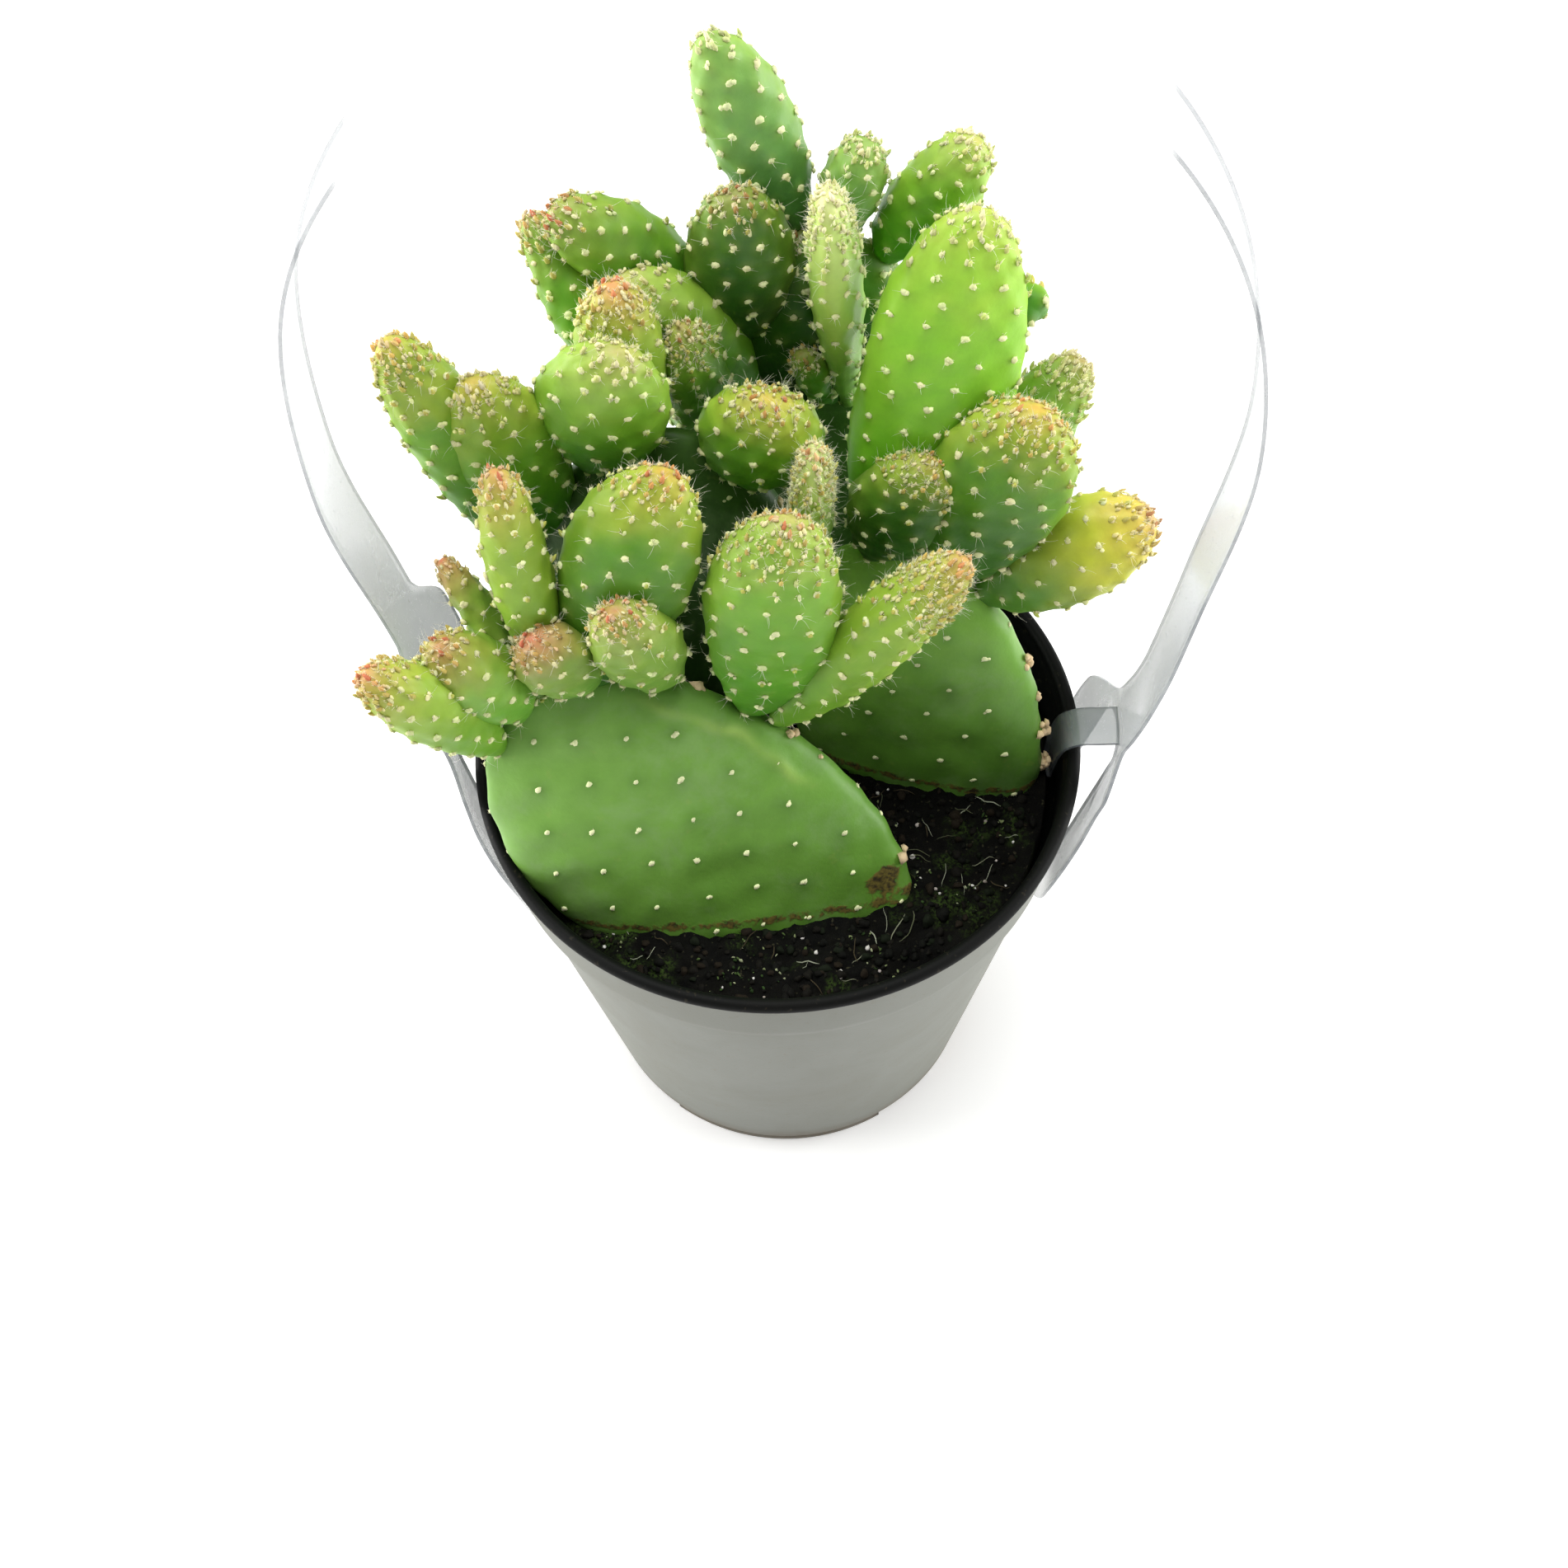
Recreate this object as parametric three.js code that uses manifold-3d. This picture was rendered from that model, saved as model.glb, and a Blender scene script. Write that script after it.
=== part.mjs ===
// A paddle cactus in a round plastic nursery pot, with the clear carrying strap that clips onto its rim.
// Millimetres, +Z up. The origin is the middle of the pot's underside, on the surface that it stands on.
// +X is to the right and -Y to the front of the plant.
import * as THREE from "three";
import { mergeVertices } from "three/addons/utils/BufferGeometryUtils.js";
import Module from "manifold-3d";

const wasm = await Module();
wasm.setup();

// ---------------------------------------------------------------- driving dimensions

const GAP = 0.3; // clearance between separate pieces that touch

const POT = {
  height: 93,
  rimRadius: 52.5, // outside of the lip
  lipWidth: 2.4,
  lipDepth: 2.6,
  bandHeight: 15, // the wider collar under the rim
  bandRadius: 50.2, // outside of the collar at its lower edge
  step: 1.3, // shoulder between the collar and the tapered body
  baseRadius: 36.9,
  footHeight: 2.6,
  wall: 1.1,
  segments: 48,
};
const FEET = { count: 4, span: 68, turn: -95, width: 2.7, inset: 0.8, centreRadius: 8 };
const DRAIN = { count: 8, radius: 3, circle: 22 };

const SOIL = { top: 82, lump: 1.3, rings: 5, segments: 32 };

const STRAP = {
  thickness: 0.6,
  centreY: -4,
  turn: -4.2, // degrees round the pot, so that its right end is nearer the front
  width: 13,
  endWidth: 27,
  flareLength: 13, // height over which it widens
  slot: { width: 11.5, aboveFoot: 8, corner: 5 },
  tongue: { width: 7.5 },
  // The two ends: how far each is moved along Y, the heights between which that move fades out, and
  // the heights of its foot, of its slot's top and below which it is at full width.
  left: { shiftY: 2, fades: [125, 165], foot: 48, slotTop: 106, wideBelow: 117 },
  right: { shiftY: 8, fades: [80, 118], foot: 49, slotTop: 98, wideBelow: 90 },
};

const COLOURS = {
  pot: 0xb9bab4,
  soil: 0x2a211b,
  maturePad: 0x4f8f3a,
  youngPad: 0x6aa534,
  bud: 0x8fae3f,
  strap: 0xe4e8ea,
};

// ---------------------------------------------------------------- geometry helpers

// A closed geometry with only positions and its shared vertices merged.
function welded(geometry) {
  const bare = geometry.clone();
  bare.deleteAttribute("normal");
  bare.deleteAttribute("uv");
  return mergeVertices(bare, 1e-4);
}

function toSolid(geometry, matrix = new THREE.Matrix4()) {
  const closed = welded(geometry).applyMatrix4(matrix);
  return new wasm.Manifold(
    new wasm.Mesh({
      numProp: 3,
      vertProperties: new Float32Array(closed.attributes.position.array),
      triVerts: new Uint32Array(closed.index.array),
    }),
  );
}

function toGeometry(solid) {
  const mesh = solid.getMesh();
  const geometry = new THREE.BufferGeometry();
  geometry.setAttribute("position", new THREE.BufferAttribute(mesh.vertProperties, 3));
  geometry.setIndex(new THREE.BufferAttribute(mesh.triVerts, 1));
  geometry.computeVertexNormals();
  return geometry;
}

function namedMesh(name, geometry, colour, roughness, metalness = 0) {
  const material = new THREE.MeshStandardMaterial({ color: colour, roughness, metalness });
  const mesh = new THREE.Mesh(geometry, material);
  mesh.name = name;
  return mesh;
}

// Lathe round +Z from [radius, height] pairs.
function turned(profile, segments) {
  const points = profile.map(([radius, height]) => new THREE.Vector2(radius, height));
  return new THREE.LatheGeometry(points, segments).rotateX(Math.PI / 2);
}

// A flat block bent over a surface: place(along, across) gives the middle of the sheet for
// along and across from -0.5 to 0.5.
function bentSheet(place, thickness, alongSegments, acrossSegments) {
  const block = new THREE.BoxGeometry(1, 1, 1, alongSegments, acrossSegments, 1);
  const position = block.attributes.position;
  const step = 1e-3;
  const normal = new THREE.Vector3();
  for (let i = 0; i < position.count; i++) {
    const along = position.getX(i);
    const across = position.getY(i);
    const middle = place(along, across);
    const onward = place(along + step, across).sub(place(along - step, across));
    const sideways = place(along, across + step).sub(place(along, across - step));
    normal.crossVectors(onward, sideways).normalize();
    middle.addScaledVector(normal, position.getZ(i) * thickness);
    position.setXYZ(i, middle.x, middle.y, middle.z);
  }
  return block;
}

function smooth(from, to, value) {
  return THREE.MathUtils.smoothstep(value, from, to);
}

// ---------------------------------------------------------------- pot

const BODY_TOP = POT.height - POT.bandHeight;
const BODY_RADIUS = POT.bandRadius - POT.step; // outside of the body under the shoulder
const NECK_RADIUS = POT.rimRadius - 1.5; // outside of the collar under the lip

// Inside radius of the pot at a height.
function innerRadius(z) {
  const lower = POT.baseRadius - POT.wall;
  const upper = BODY_RADIUS - POT.wall;
  if (z < BODY_TOP) return lower + ((upper - lower) * (z - POT.footHeight)) / (BODY_TOP - POT.footHeight);
  const collar = POT.bandRadius - POT.wall;
  return collar + ((NECK_RADIUS - POT.bandRadius) * (z - BODY_TOP)) / POT.bandHeight;
}

function potShell() {
  const floor = POT.footHeight;
  const lipInner = POT.rimRadius - POT.lipWidth;
  const lipUnder = POT.height - POT.lipDepth;
  return turned(
    [
      [0, floor],
      [POT.baseRadius - 0.8, floor],
      [POT.baseRadius, floor + 1],
      [BODY_RADIUS, BODY_TOP - 0.8],
      [POT.bandRadius, BODY_TOP + 0.4],
      [NECK_RADIUS, lipUnder],
      [POT.rimRadius - 0.2, lipUnder],
      [POT.rimRadius, lipUnder + 0.5],
      [POT.rimRadius, POT.height - 0.7],
      [POT.rimRadius - 0.6, POT.height],
      [lipInner + 0.6, POT.height],
      [lipInner, POT.height - 0.6],
      [innerRadius(lipUnder), lipUnder],
      [innerRadius(BODY_TOP + 0.4), BODY_TOP + 0.4],
      [BODY_RADIUS - POT.wall, BODY_TOP - 1.2],
      [POT.baseRadius - POT.wall, floor + POT.wall + 1],
      [POT.baseRadius - POT.wall - 1, floor + POT.wall],
      [0, floor + POT.wall],
    ],
    POT.segments,
  );
}

// One arc of the foot ring under the base.
function footArc(middle) {
  const half = THREE.MathUtils.degToRad(FEET.span / 2);
  const outer = POT.baseRadius - FEET.inset;
  const shape = new THREE.Shape();
  shape.absarc(0, 0, outer, middle - half, middle + half, false);
  shape.absarc(0, 0, outer - FEET.width, middle + half, middle - half, true);
  const depth = POT.footHeight + POT.wall / 2;
  return new THREE.ExtrudeGeometry(shape, { depth, bevelEnabled: false, curveSegments: 12 });
}

function makePot() {
  let solid = toSolid(potShell());
  for (let i = 0; i < FEET.count; i++) {
    const middle = THREE.MathUtils.degToRad(FEET.turn + (360 / FEET.count) * i);
    solid = solid.add(toSolid(footArc(middle)));
  }
  const depth = POT.footHeight + POT.wall / 2;
  const centreFoot = new THREE.CylinderGeometry(FEET.centreRadius, FEET.centreRadius, depth, 24);
  centreFoot.rotateX(Math.PI / 2).translate(0, 0, depth / 2);
  solid = solid.add(toSolid(centreFoot));
  for (let i = 0; i < DRAIN.count; i++) {
    const angle = (2 * Math.PI * i) / DRAIN.count;
    const hole = new THREE.CylinderGeometry(DRAIN.radius, DRAIN.radius, 10, 12).rotateX(Math.PI / 2);
    hole.translate(DRAIN.circle * Math.cos(angle), DRAIN.circle * Math.sin(angle), POT.footHeight);
    solid = solid.subtract(toSolid(hole));
  }
  return namedMesh("pot", toGeometry(solid), COLOURS.pot, 0.55);
}

// ---------------------------------------------------------------- pads

const BIG = 40; // pads at least this wide are the mature ones, and get a finer surface

// A pad is an upside-down teardrop, flattened. In its own frame its stem end is at the origin, +Z runs
// along it, +X across it and +Y out of its back, so it faces -Y.
function padGeometry({ length, width, thick }, grow) {
  const segments = width >= BIG ? [16, 10] : [12, 7];
  const geometry = new THREE.SphereGeometry(1, ...segments).rotateX(Math.PI / 2);
  const position = geometry.attributes.position;
  for (let i = 0; i < position.count; i++) {
    const along = position.getZ(i);
    const swell = padSwell(along);
    position.setXYZ(
      i,
      position.getX(i) * swell * (width / 2 + grow),
      position.getY(i) * swell * (thick / 2 + grow),
      length / 2 + along * (length / 2 + grow),
    );
  }
  return geometry;
}

// How much fuller (over 1) or slimmer a pad is than an ellipsoid, from its stem (-1) to its tip (1).
function padSwell(along) {
  return 0.9 + 0.18 * along + 0.12 * (1 - along * along);
}

// The frame of a pad that grows from base to tip. It faces the front, turned about its own length by a
// number of degrees.
const FACING = new THREE.Vector3(0, -1, 0.5);
function padFrame(base, tip, turn) {
  const length = base.distanceTo(tip);
  const up = tip.clone().sub(base).normalize();
  const back = FACING.clone().negate().projectOnPlane(up).normalize();
  back.applyAxisAngle(up, THREE.MathUtils.degToRad(turn));
  const across = new THREE.Vector3().crossVectors(back, up);
  const matrix = new THREE.Matrix4().makeBasis(across, back, up).setPosition(base);
  return { length, matrix };
}

// A point on the edge of a pad, at degrees round from its tip, clockwise as seen from its face,
// set a little way inside so that a pad growing there joins it.
function edgePoint(pad, at, inside = 0.92) {
  const angle = THREE.MathUtils.degToRad(at);
  const along = Math.cos(angle) * inside;
  const side = Math.sin(angle) * padSwell(Math.cos(angle)) * (pad.width / 2) * inside;
  const point = new THREE.Vector3(side, 0, (pad.length / 2) * (1 + along));
  return point.applyMatrix4(pad.matrix);
}

// The four planted pads stand in the soil. Each other pad grows from the edge of an older one, at degrees
// round from that one's tip, and reaches to its own tip.
const PLANTED = [
  { name: "front_main_pad", base: [22, -32, 68], tip: [-44, -10, 118], width: 50, thick: 13 },
  { name: "right_main_pad", base: [33, -6, 52], tip: [16, 12, 131], width: 44, thick: 13, turn: -18 },
  { name: "left_main_pad", base: [-16, 8, 66], tip: [-17, 17, 154], width: 44, thick: 12 },
  { name: "rear_main_pad", base: [6, 30, 66], tip: [8, 34, 144], width: 46, thick: 12 },
];
const GROWN = [
  // along the top edge of the front pad, from its tip round to the right
  { name: "front_pad_1", on: "front_main_pad", at: -12, tip: [-61, -19, 143], width: 12, thick: 10 },
  { name: "front_pad_2", on: "front_main_pad", at: 4, tip: [-51, -13, 141], width: 14, thick: 11 },
  { name: "front_bud_1", on: "front_main_pad", at: 14, tip: [-50, -1, 147], width: 6, thick: 7 },
  { name: "front_pad_3", on: "front_main_pad", at: 17, tip: [-39, -2, 168], width: 10, thick: 9, turn: 20 },
  { name: "front_bud_2", on: "front_main_pad", at: 31, tip: [-37, -12, 141], width: 13, thick: 10 },
  { name: "front_pad_4", on: "front_main_pad", at: 28, tip: [-15, -2, 167], width: 20, thick: 12 },
  { name: "front_bud_3", on: "front_main_pad", at: 51, tip: [-23, -13, 149], width: 14, thick: 10 },
  { name: "front_pad_5", on: "front_main_pad", at: 75, tip: [3, -6, 160], width: 21, thick: 13 },
  { name: "front_pad_6", on: "front_main_pad", at: 80, tip: [29, -8, 151], width: 12, thick: 10 },
  // on the left pad
  { name: "left_pad_1", on: "left_main_pad", at: -26, tip: [-21, 10, 179], width: 20, thick: 12 },
  { name: "left_pad_2", on: "left_main_pad", at: -58, tip: [-42, 11, 173], width: 19, thick: 11 },
  { name: "left_pad_3", on: "left_main_pad", at: -68, tip: [-53, 12, 181], width: 14, thick: 10 },
  { name: "left_pad_4", on: "left_main_pad", at: 38, tip: [1, 11, 167], width: 19, thick: 12 },
  { name: "left_pad_5", on: "left_main_pad", at: -8, tip: [-21, 19, 183], width: 13, thick: 10 },
  { name: "left_pad_6", on: "left_main_pad", at: 0, tip: [-33, 32, 185], width: 9, thick: 8 },
  // on the right pad
  { name: "right_pad_1", on: "right_main_pad", at: 42, tip: [60, 8, 140], width: 17, thick: 11 },
  { name: "right_pad_2", on: "right_main_pad", at: 30, tip: [40, 9, 165], width: 23, thick: 13 },
  { name: "right_pad_3", on: "right_main_pad", at: 20, tip: [49, 24, 159], width: 14, thick: 10 },
  { name: "right_pad_4", on: "right_main_pad", at: 5, tip: [32, 24, 190], width: 24, thick: 13 },
  { name: "right_pad_5", on: "right_main_pad", at: 0, tip: [25, 7, 156], width: 17, thick: 11 },
  { name: "right_pad_6", on: "right_main_pad", at: -35, tip: [7, 3, 164], width: 12, thick: 7, turn: 80 },
  { name: "right_bud_1", on: "right_pad_4", at: 60, tip: [38, 26, 172], width: 9, thick: 7 },
  // on the rear pad and on the pad above it
  { name: "rear_pad_1", on: "rear_main_pad", at: 0, tip: [7, 37, 176], width: 29, thick: 13 },
  { name: "rear_pad_2", on: "rear_pad_1", at: -115, tip: [-3, 29, 190], width: 17, thick: 12 },
  { name: "rear_pad_3", on: "rear_pad_1", at: -2, tip: [-6, 40, 209], width: 13, thick: 10 },
  { name: "rear_pad_4", on: "rear_main_pad", at: 15, tip: [10, 24, 194], width: 14, thick: 8, turn: 80 },
  { name: "rear_pad_5", on: "rear_pad_1", at: 20, tip: [16, 34, 194], width: 9, thick: 9, turn: 50 },
  { name: "rear_pad_6", on: "rear_pad_1", at: 50, tip: [32, 35, 193], width: 12, thick: 10 },
  { name: "rear_pad_7", on: "rear_pad_1", at: -80, tip: [-29, 28, 189], width: 14, thick: 10 },
  { name: "rear_pad_8", on: "rear_main_pad", at: -25, tip: [-20, 24, 179], width: 19, thick: 12 },
  { name: "rear_pad_9", on: "rear_main_pad", at: -45, tip: [-12, 19, 174], width: 12, thick: 9, turn: 30 },
  { name: "rear_bud_1", on: "rear_main_pad", at: 10, tip: [6, 27, 159], width: 7, thick: 6 },
];

const pads = new Map();
function addPad(entry, base) {
  const tip = new THREE.Vector3(...entry.tip);
  pads.set(entry.name, { ...entry, ...padFrame(base, tip, entry.turn ?? 0) });
}
for (const entry of PLANTED) addPad(entry, new THREE.Vector3(...entry.base));
for (const entry of GROWN) addPad(entry, edgePoint(pads.get(entry.on), entry.at));

function padColour({ name, width }) {
  if (width >= BIG) return COLOURS.maturePad;
  return name.includes("bud") ? COLOURS.bud : COLOURS.youngPad;
}

// A pad, cut clear of the older ones that it touches. The cuts are made in its own frame.
function makePad(pad, olderSolids) {
  const toOwn = pad.matrix.clone().invert();
  let solid = toSolid(padGeometry(pad, 0));
  for (const older of olderSolids) solid = solid.subtract(older.transform(toOwn.elements));
  const largest = solid.decompose().sort((a, b) => b.volume() - a.volume())[0];
  const mesh = namedMesh(pad.name, toGeometry(largest), padColour(pad), 0.6);
  mesh.applyMatrix4(pad.matrix);
  return mesh;
}

function makeCactus() {
  const group = new THREE.Group();
  const olderSolids = [];
  for (const pad of pads.values()) {
    group.add(makePad(pad, olderSolids));
    olderSolids.push(toSolid(padGeometry(pad, GAP), pad.matrix));
  }
  return group;
}

// ---------------------------------------------------------------- soil

// Height of the lumpy surface above its mean.
function lumps(x, y) {
  return SOIL.lump * (Math.sin(x / 6.5 + 1) * Math.cos(y / 7.5) + 0.5 * Math.sin((x + y) / 4.2 + 2));
}

function makeSoil() {
  const profile = [[0, POT.footHeight + POT.wall + GAP]];
  profile.push([POT.baseRadius - POT.wall - 1.6, POT.footHeight + POT.wall + GAP]);
  profile.push([BODY_RADIUS - POT.wall - 0.5, BODY_TOP - 2]);
  profile.push([BODY_RADIUS - POT.wall - 0.5, SOIL.top]);
  for (let ring = SOIL.rings - 1; ring > 0; ring--) {
    profile.push([((BODY_RADIUS - POT.wall) * ring) / SOIL.rings, SOIL.top]);
  }
  profile.push([0, SOIL.top]);
  const geometry = turned(profile, SOIL.segments);
  const position = geometry.attributes.position;
  for (let i = 0; i < position.count; i++) {
    if (position.getZ(i) < SOIL.top - 0.1) continue;
    position.setZ(i, SOIL.top + lumps(position.getX(i), position.getY(i)));
  }
  let solid = toSolid(geometry);
  for (const { name } of PLANTED) {
    const pad = pads.get(name);
    solid = solid.subtract(toSolid(padGeometry(pad, GAP), pad.matrix));
  }
  const largest = solid.decompose().sort((a, b) => b.volume() - a.volume())[0];
  return namedMesh("soil", toGeometry(largest), COLOURS.soil, 0.95);
}

// ---------------------------------------------------------------- carrying strap

// The strap's line seen from the front, as [x, z], up the left side, over the plant and down the right.
const STRAP_LINE = [
  [-46.4, STRAP.left.foot], [-49.6, 60], [-52.2, 70], [-54, 81], [-54.8, 93], [-55.4, 107], [-59.5, 134],
  [-64, 168], [-60.5, 205], [-47, 230], [-24, 251], [1, 258], [25, 252], [46, 237], [61, 213], [68, 180],
  [64.5, 142], [60.6, 112], [58.6, 100], [56.8, 88], [54.8, 76], [51.5, 62], [47.5, STRAP.right.foot],
];

const strapLine = new THREE.CatmullRomCurve3(STRAP_LINE.map(([x, z]) => new THREE.Vector3(x, 0, z)));

function strapEnd(side) {
  return side < 0 ? STRAP.left : STRAP.right;
}

function strapWidth(side, z) {
  const { wideBelow, foot } = strapEnd(side);
  const flare = 1 - smooth(wideBelow, wideBelow + STRAP.flareLength, z);
  const end = smooth(foot - 4, foot + 5, z); // rounds the lower corners
  return (STRAP.width + (STRAP.endWidth - STRAP.width) * flare) * (0.72 + 0.28 * end);
}

// The middle of the strap along Y: each end is pulled to its own place.
function strapMiddle(side, z) {
  const { shiftY, fades } = strapEnd(side);
  return STRAP.centreY + shiftY * (1 - smooth(...fades, z));
}

// How far out a point of the strap is: low down it follows the round pot.
function strapOut(out, y, z) {
  return out + (1 - smooth(108, 130, z)) * (Math.sqrt(Math.max(0, out * out - y * y)) - out);
}

// How far the strap's line stands out from the middle at a height near one of its ends.
function strapReach(side, z) {
  const points = strapLine.getPoints(200).filter((point) => point.x * side > 0);
  points.sort((a, b) => Math.abs(a.z - z) - Math.abs(b.z - z));
  return Math.abs(points[0].x);
}

function strapSheet() {
  return bentSheet(
    (along, across) => {
      const point = strapLine.getPointAt(THREE.MathUtils.clamp(along + 0.5, 0, 1));
      const side = Math.sign(point.x);
      point.y = strapMiddle(side, point.z) + across * strapWidth(side, point.z);
      point.x = side * strapOut(Math.abs(point.x), point.y, point.z);
      return point;
    },
    STRAP.thickness,
    60,
    4,
  );
}

// The opening in a strap end, a block with round corners that runs right through the sheet.
function slotCutter(side) {
  const { width, aboveFoot, corner } = STRAP.slot;
  const { foot, slotTop } = strapEnd(side);
  const bottom = foot + aboveFoot;
  const left = -width / 2;
  const shape = new THREE.Shape();
  shape.absarc(left + width - corner, slotTop - corner, corner, 0, Math.PI / 2);
  shape.absarc(left + corner, slotTop - corner, corner, Math.PI / 2, Math.PI);
  shape.absarc(left + corner, bottom + corner, corner, Math.PI, 1.5 * Math.PI);
  shape.absarc(left + width - corner, bottom + corner, corner, 1.5 * Math.PI, 2 * Math.PI);
  const block = new THREE.ExtrudeGeometry(shape, { depth: 19, bevelEnabled: false, curveSegments: 5 });
  // the shape's X becomes Y and its Y becomes Z
  block.applyMatrix4(new THREE.Matrix4().makeBasis(
    new THREE.Vector3(0, 1, 0), new THREE.Vector3(0, 0, 1), new THREE.Vector3(1, 0, 0)));
  block.translate(side > 0 ? 40 : -59, 0, 0);
  const corners = block.attributes.position;
  for (let i = 0; i < corners.count; i += 1) {
    corners.setY(i, corners.getY(i) + strapMiddle(side, corners.getZ(i)));
  }
  return toSolid(block);
}

// The tongue cut from that opening: it passes over the rim and lies against the inside of the pot.
function tongueSheet(side) {
  const { width } = STRAP.tongue;
  const rootZ = strapEnd(side).slotTop + 0.8;
  const reach = strapReach(side, rootZ);
  const inside = innerRadius(80) - GAP - STRAP.thickness;
  const hook = [
    [reach, rootZ],
    [(reach + 52.2) / 2, (rootZ + 97.6) / 2],
    [52.2, 97.6],
    [49.7, 94.6],
    [inside + 0.6, 91],
    [inside, 84],
    [inside - 0.3, 78],
  ];
  const line = new THREE.CatmullRomCurve3(hook.map(([radius, z]) => new THREE.Vector3(radius, 0, z)));
  return bentSheet(
    (along, across) => {
      const { x: radius, z } = line.getPointAt(THREE.MathUtils.clamp(along + 0.5, 0, 1));
      const taper = 0.7 + 0.3 * smooth(76, 82, z);
      const y = strapMiddle(side, z) + across * width * taper;
      return new THREE.Vector3(side * strapOut(radius, y, z), y, z);
    },
    STRAP.thickness,
    10,
    3,
  );
}

function makeStrap() {
  let solid = toSolid(strapSheet());
  for (const side of [-1, 1]) {
    solid = solid.subtract(slotCutter(side));
    const tongue = toSolid(tongueSheet(side));
    solid = solid.add(tongue);
  }
  const mesh = namedMesh("carry_strap", toGeometry(solid), COLOURS.strap, 0.15);
  mesh.rotation.z = THREE.MathUtils.degToRad(STRAP.turn);
  return mesh;
}

// ---------------------------------------------------------------- assembly

const root = new THREE.Group();
root.add(makePot());
root.add(makeSoil());
root.add(makeCactus());
root.add(makeStrap());

export default root;
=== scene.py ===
"""A paddle cactus in a plastic nursery pot with a clear carrying strap.

One operator makes each piece or group of like pieces, around the fixed frame. Lengths are in millimetres
until a mesh is made.
"""

import math

import bmesh
import bpy
import numpy as np
from bpy.props import FloatProperty, FloatVectorProperty, IntProperty, PointerProperty
from mathutils import Matrix, Vector
from mathutils.geometry import delaunay_2d_cdt


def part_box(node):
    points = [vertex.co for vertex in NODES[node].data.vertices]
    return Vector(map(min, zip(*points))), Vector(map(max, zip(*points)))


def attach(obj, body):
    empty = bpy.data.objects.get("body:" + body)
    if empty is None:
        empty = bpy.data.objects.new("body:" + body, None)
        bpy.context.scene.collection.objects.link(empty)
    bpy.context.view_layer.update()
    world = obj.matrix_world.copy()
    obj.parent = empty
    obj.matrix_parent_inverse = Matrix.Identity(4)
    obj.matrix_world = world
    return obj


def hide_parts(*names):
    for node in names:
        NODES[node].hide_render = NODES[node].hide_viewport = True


bl_info = {
    "name": "Potted paddle cactus",
    "version": (1, 0, 0),
    "blender": (4, 2, 0),
    "location": "View3D > Sidebar > Cactus",
    "description": "Builds a paddle cactus, its pot, its soil and its carrying strap",
    "category": "Object",
}

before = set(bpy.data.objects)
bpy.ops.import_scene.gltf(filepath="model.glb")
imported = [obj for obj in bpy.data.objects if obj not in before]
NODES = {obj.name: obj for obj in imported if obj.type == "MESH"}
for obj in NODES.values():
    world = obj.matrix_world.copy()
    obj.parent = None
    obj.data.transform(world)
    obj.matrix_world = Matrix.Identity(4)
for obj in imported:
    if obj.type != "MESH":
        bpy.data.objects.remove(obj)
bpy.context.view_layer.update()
MM = 0.001


# ---------------------------------------------------------------- colours


def srgb(red, green, blue):
    """A screen colour, each part from 0 to 255, as the linear colour that shaders use."""
    parts = [value / 255 for value in (red, green, blue)]
    return tuple(p / 12.92 if p <= 0.04045 else ((p + 0.055) / 1.055) ** 2.4 for p in parts)


# Colours up a pad from its stem to its tip, at these shares of the way along its surface.
PALETTE_STOPS = (0.0, 0.38, 0.64, 0.84, 1.0)
# The shaded palette is dark from stem to tip: painted shade for the two mature pads hidden behind the
# others. The darker low stops of mature_shade, deep, dark and yellow_tip are painted shade where the pads
# crowd one another.
PALETTES = {
    "mature": [(84, 126, 36), (100, 148, 52), (114, 162, 64), (122, 168, 74), (128, 172, 80)],
    "mature_shade": [(58, 96, 28), (90, 140, 46), (114, 164, 60), (126, 174, 66), (130, 176, 70)],
    "shaded": [(16, 32, 10), (28, 52, 16), (46, 80, 26), (64, 102, 36), (78, 116, 44)],
    "red_bud": [(84, 128, 42), (108, 152, 52), (130, 166, 60), (158, 168, 76), (196, 128, 90)],
    "golden": [(34, 80, 6), (54, 108, 12), (86, 142, 24), (160, 180, 54), (208, 172, 80)],
    "pink_tip": [(84, 128, 42), (104, 152, 52), (130, 160, 64), (190, 150, 98), (206, 122, 94)],
    "fan": [(84, 140, 40), (104, 162, 48), (126, 174, 58), (154, 156, 68), (170, 118, 72)],
    "orange_bud": [(84, 138, 30), (112, 162, 38), (142, 178, 50), (184, 184, 74), (216, 152, 100)],
    "pale_tip": [(56, 116, 16), (88, 154, 28), (120, 174, 44), (158, 190, 76), (190, 186, 106)],
    "lime": [(84, 154, 22), (114, 186, 34), (138, 200, 48), (164, 206, 66), (186, 196, 88)],
    "yellow_tip": [(40, 98, 8), (72, 136, 18), (110, 166, 34), (170, 188, 62), (206, 184, 84)],
    "corky_tip": [(54, 102, 30), (88, 138, 36), (196, 202, 58), (226, 200, 88), (206, 160, 112)],
    "dark": [(20, 62, 2), (30, 82, 6), (56, 110, 16), (134, 164, 48), (178, 170, 72)],
    "deep": [(14, 48, 2), (24, 70, 4), (38, 92, 10), (84, 128, 32), (142, 142, 72)],
    "rusty": [(40, 96, 14), (66, 130, 22), (96, 154, 34), (132, 166, 58), (160, 144, 78)],
    "blue_green": [(76, 130, 64), (92, 146, 74), (108, 158, 74), (130, 174, 80), (152, 182, 94)],
    "whitish": [(80, 126, 40), (122, 168, 62), (158, 196, 88), (192, 214, 124), (222, 218, 164)],
}
LEAF_COLOURS = {
    "red": (200, 112, 84),
    "orange": (222, 152, 98),
    "brown": (164, 114, 76),
    "green": (188, 194, 104),
    "cream": (238, 228, 192),
}

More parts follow.
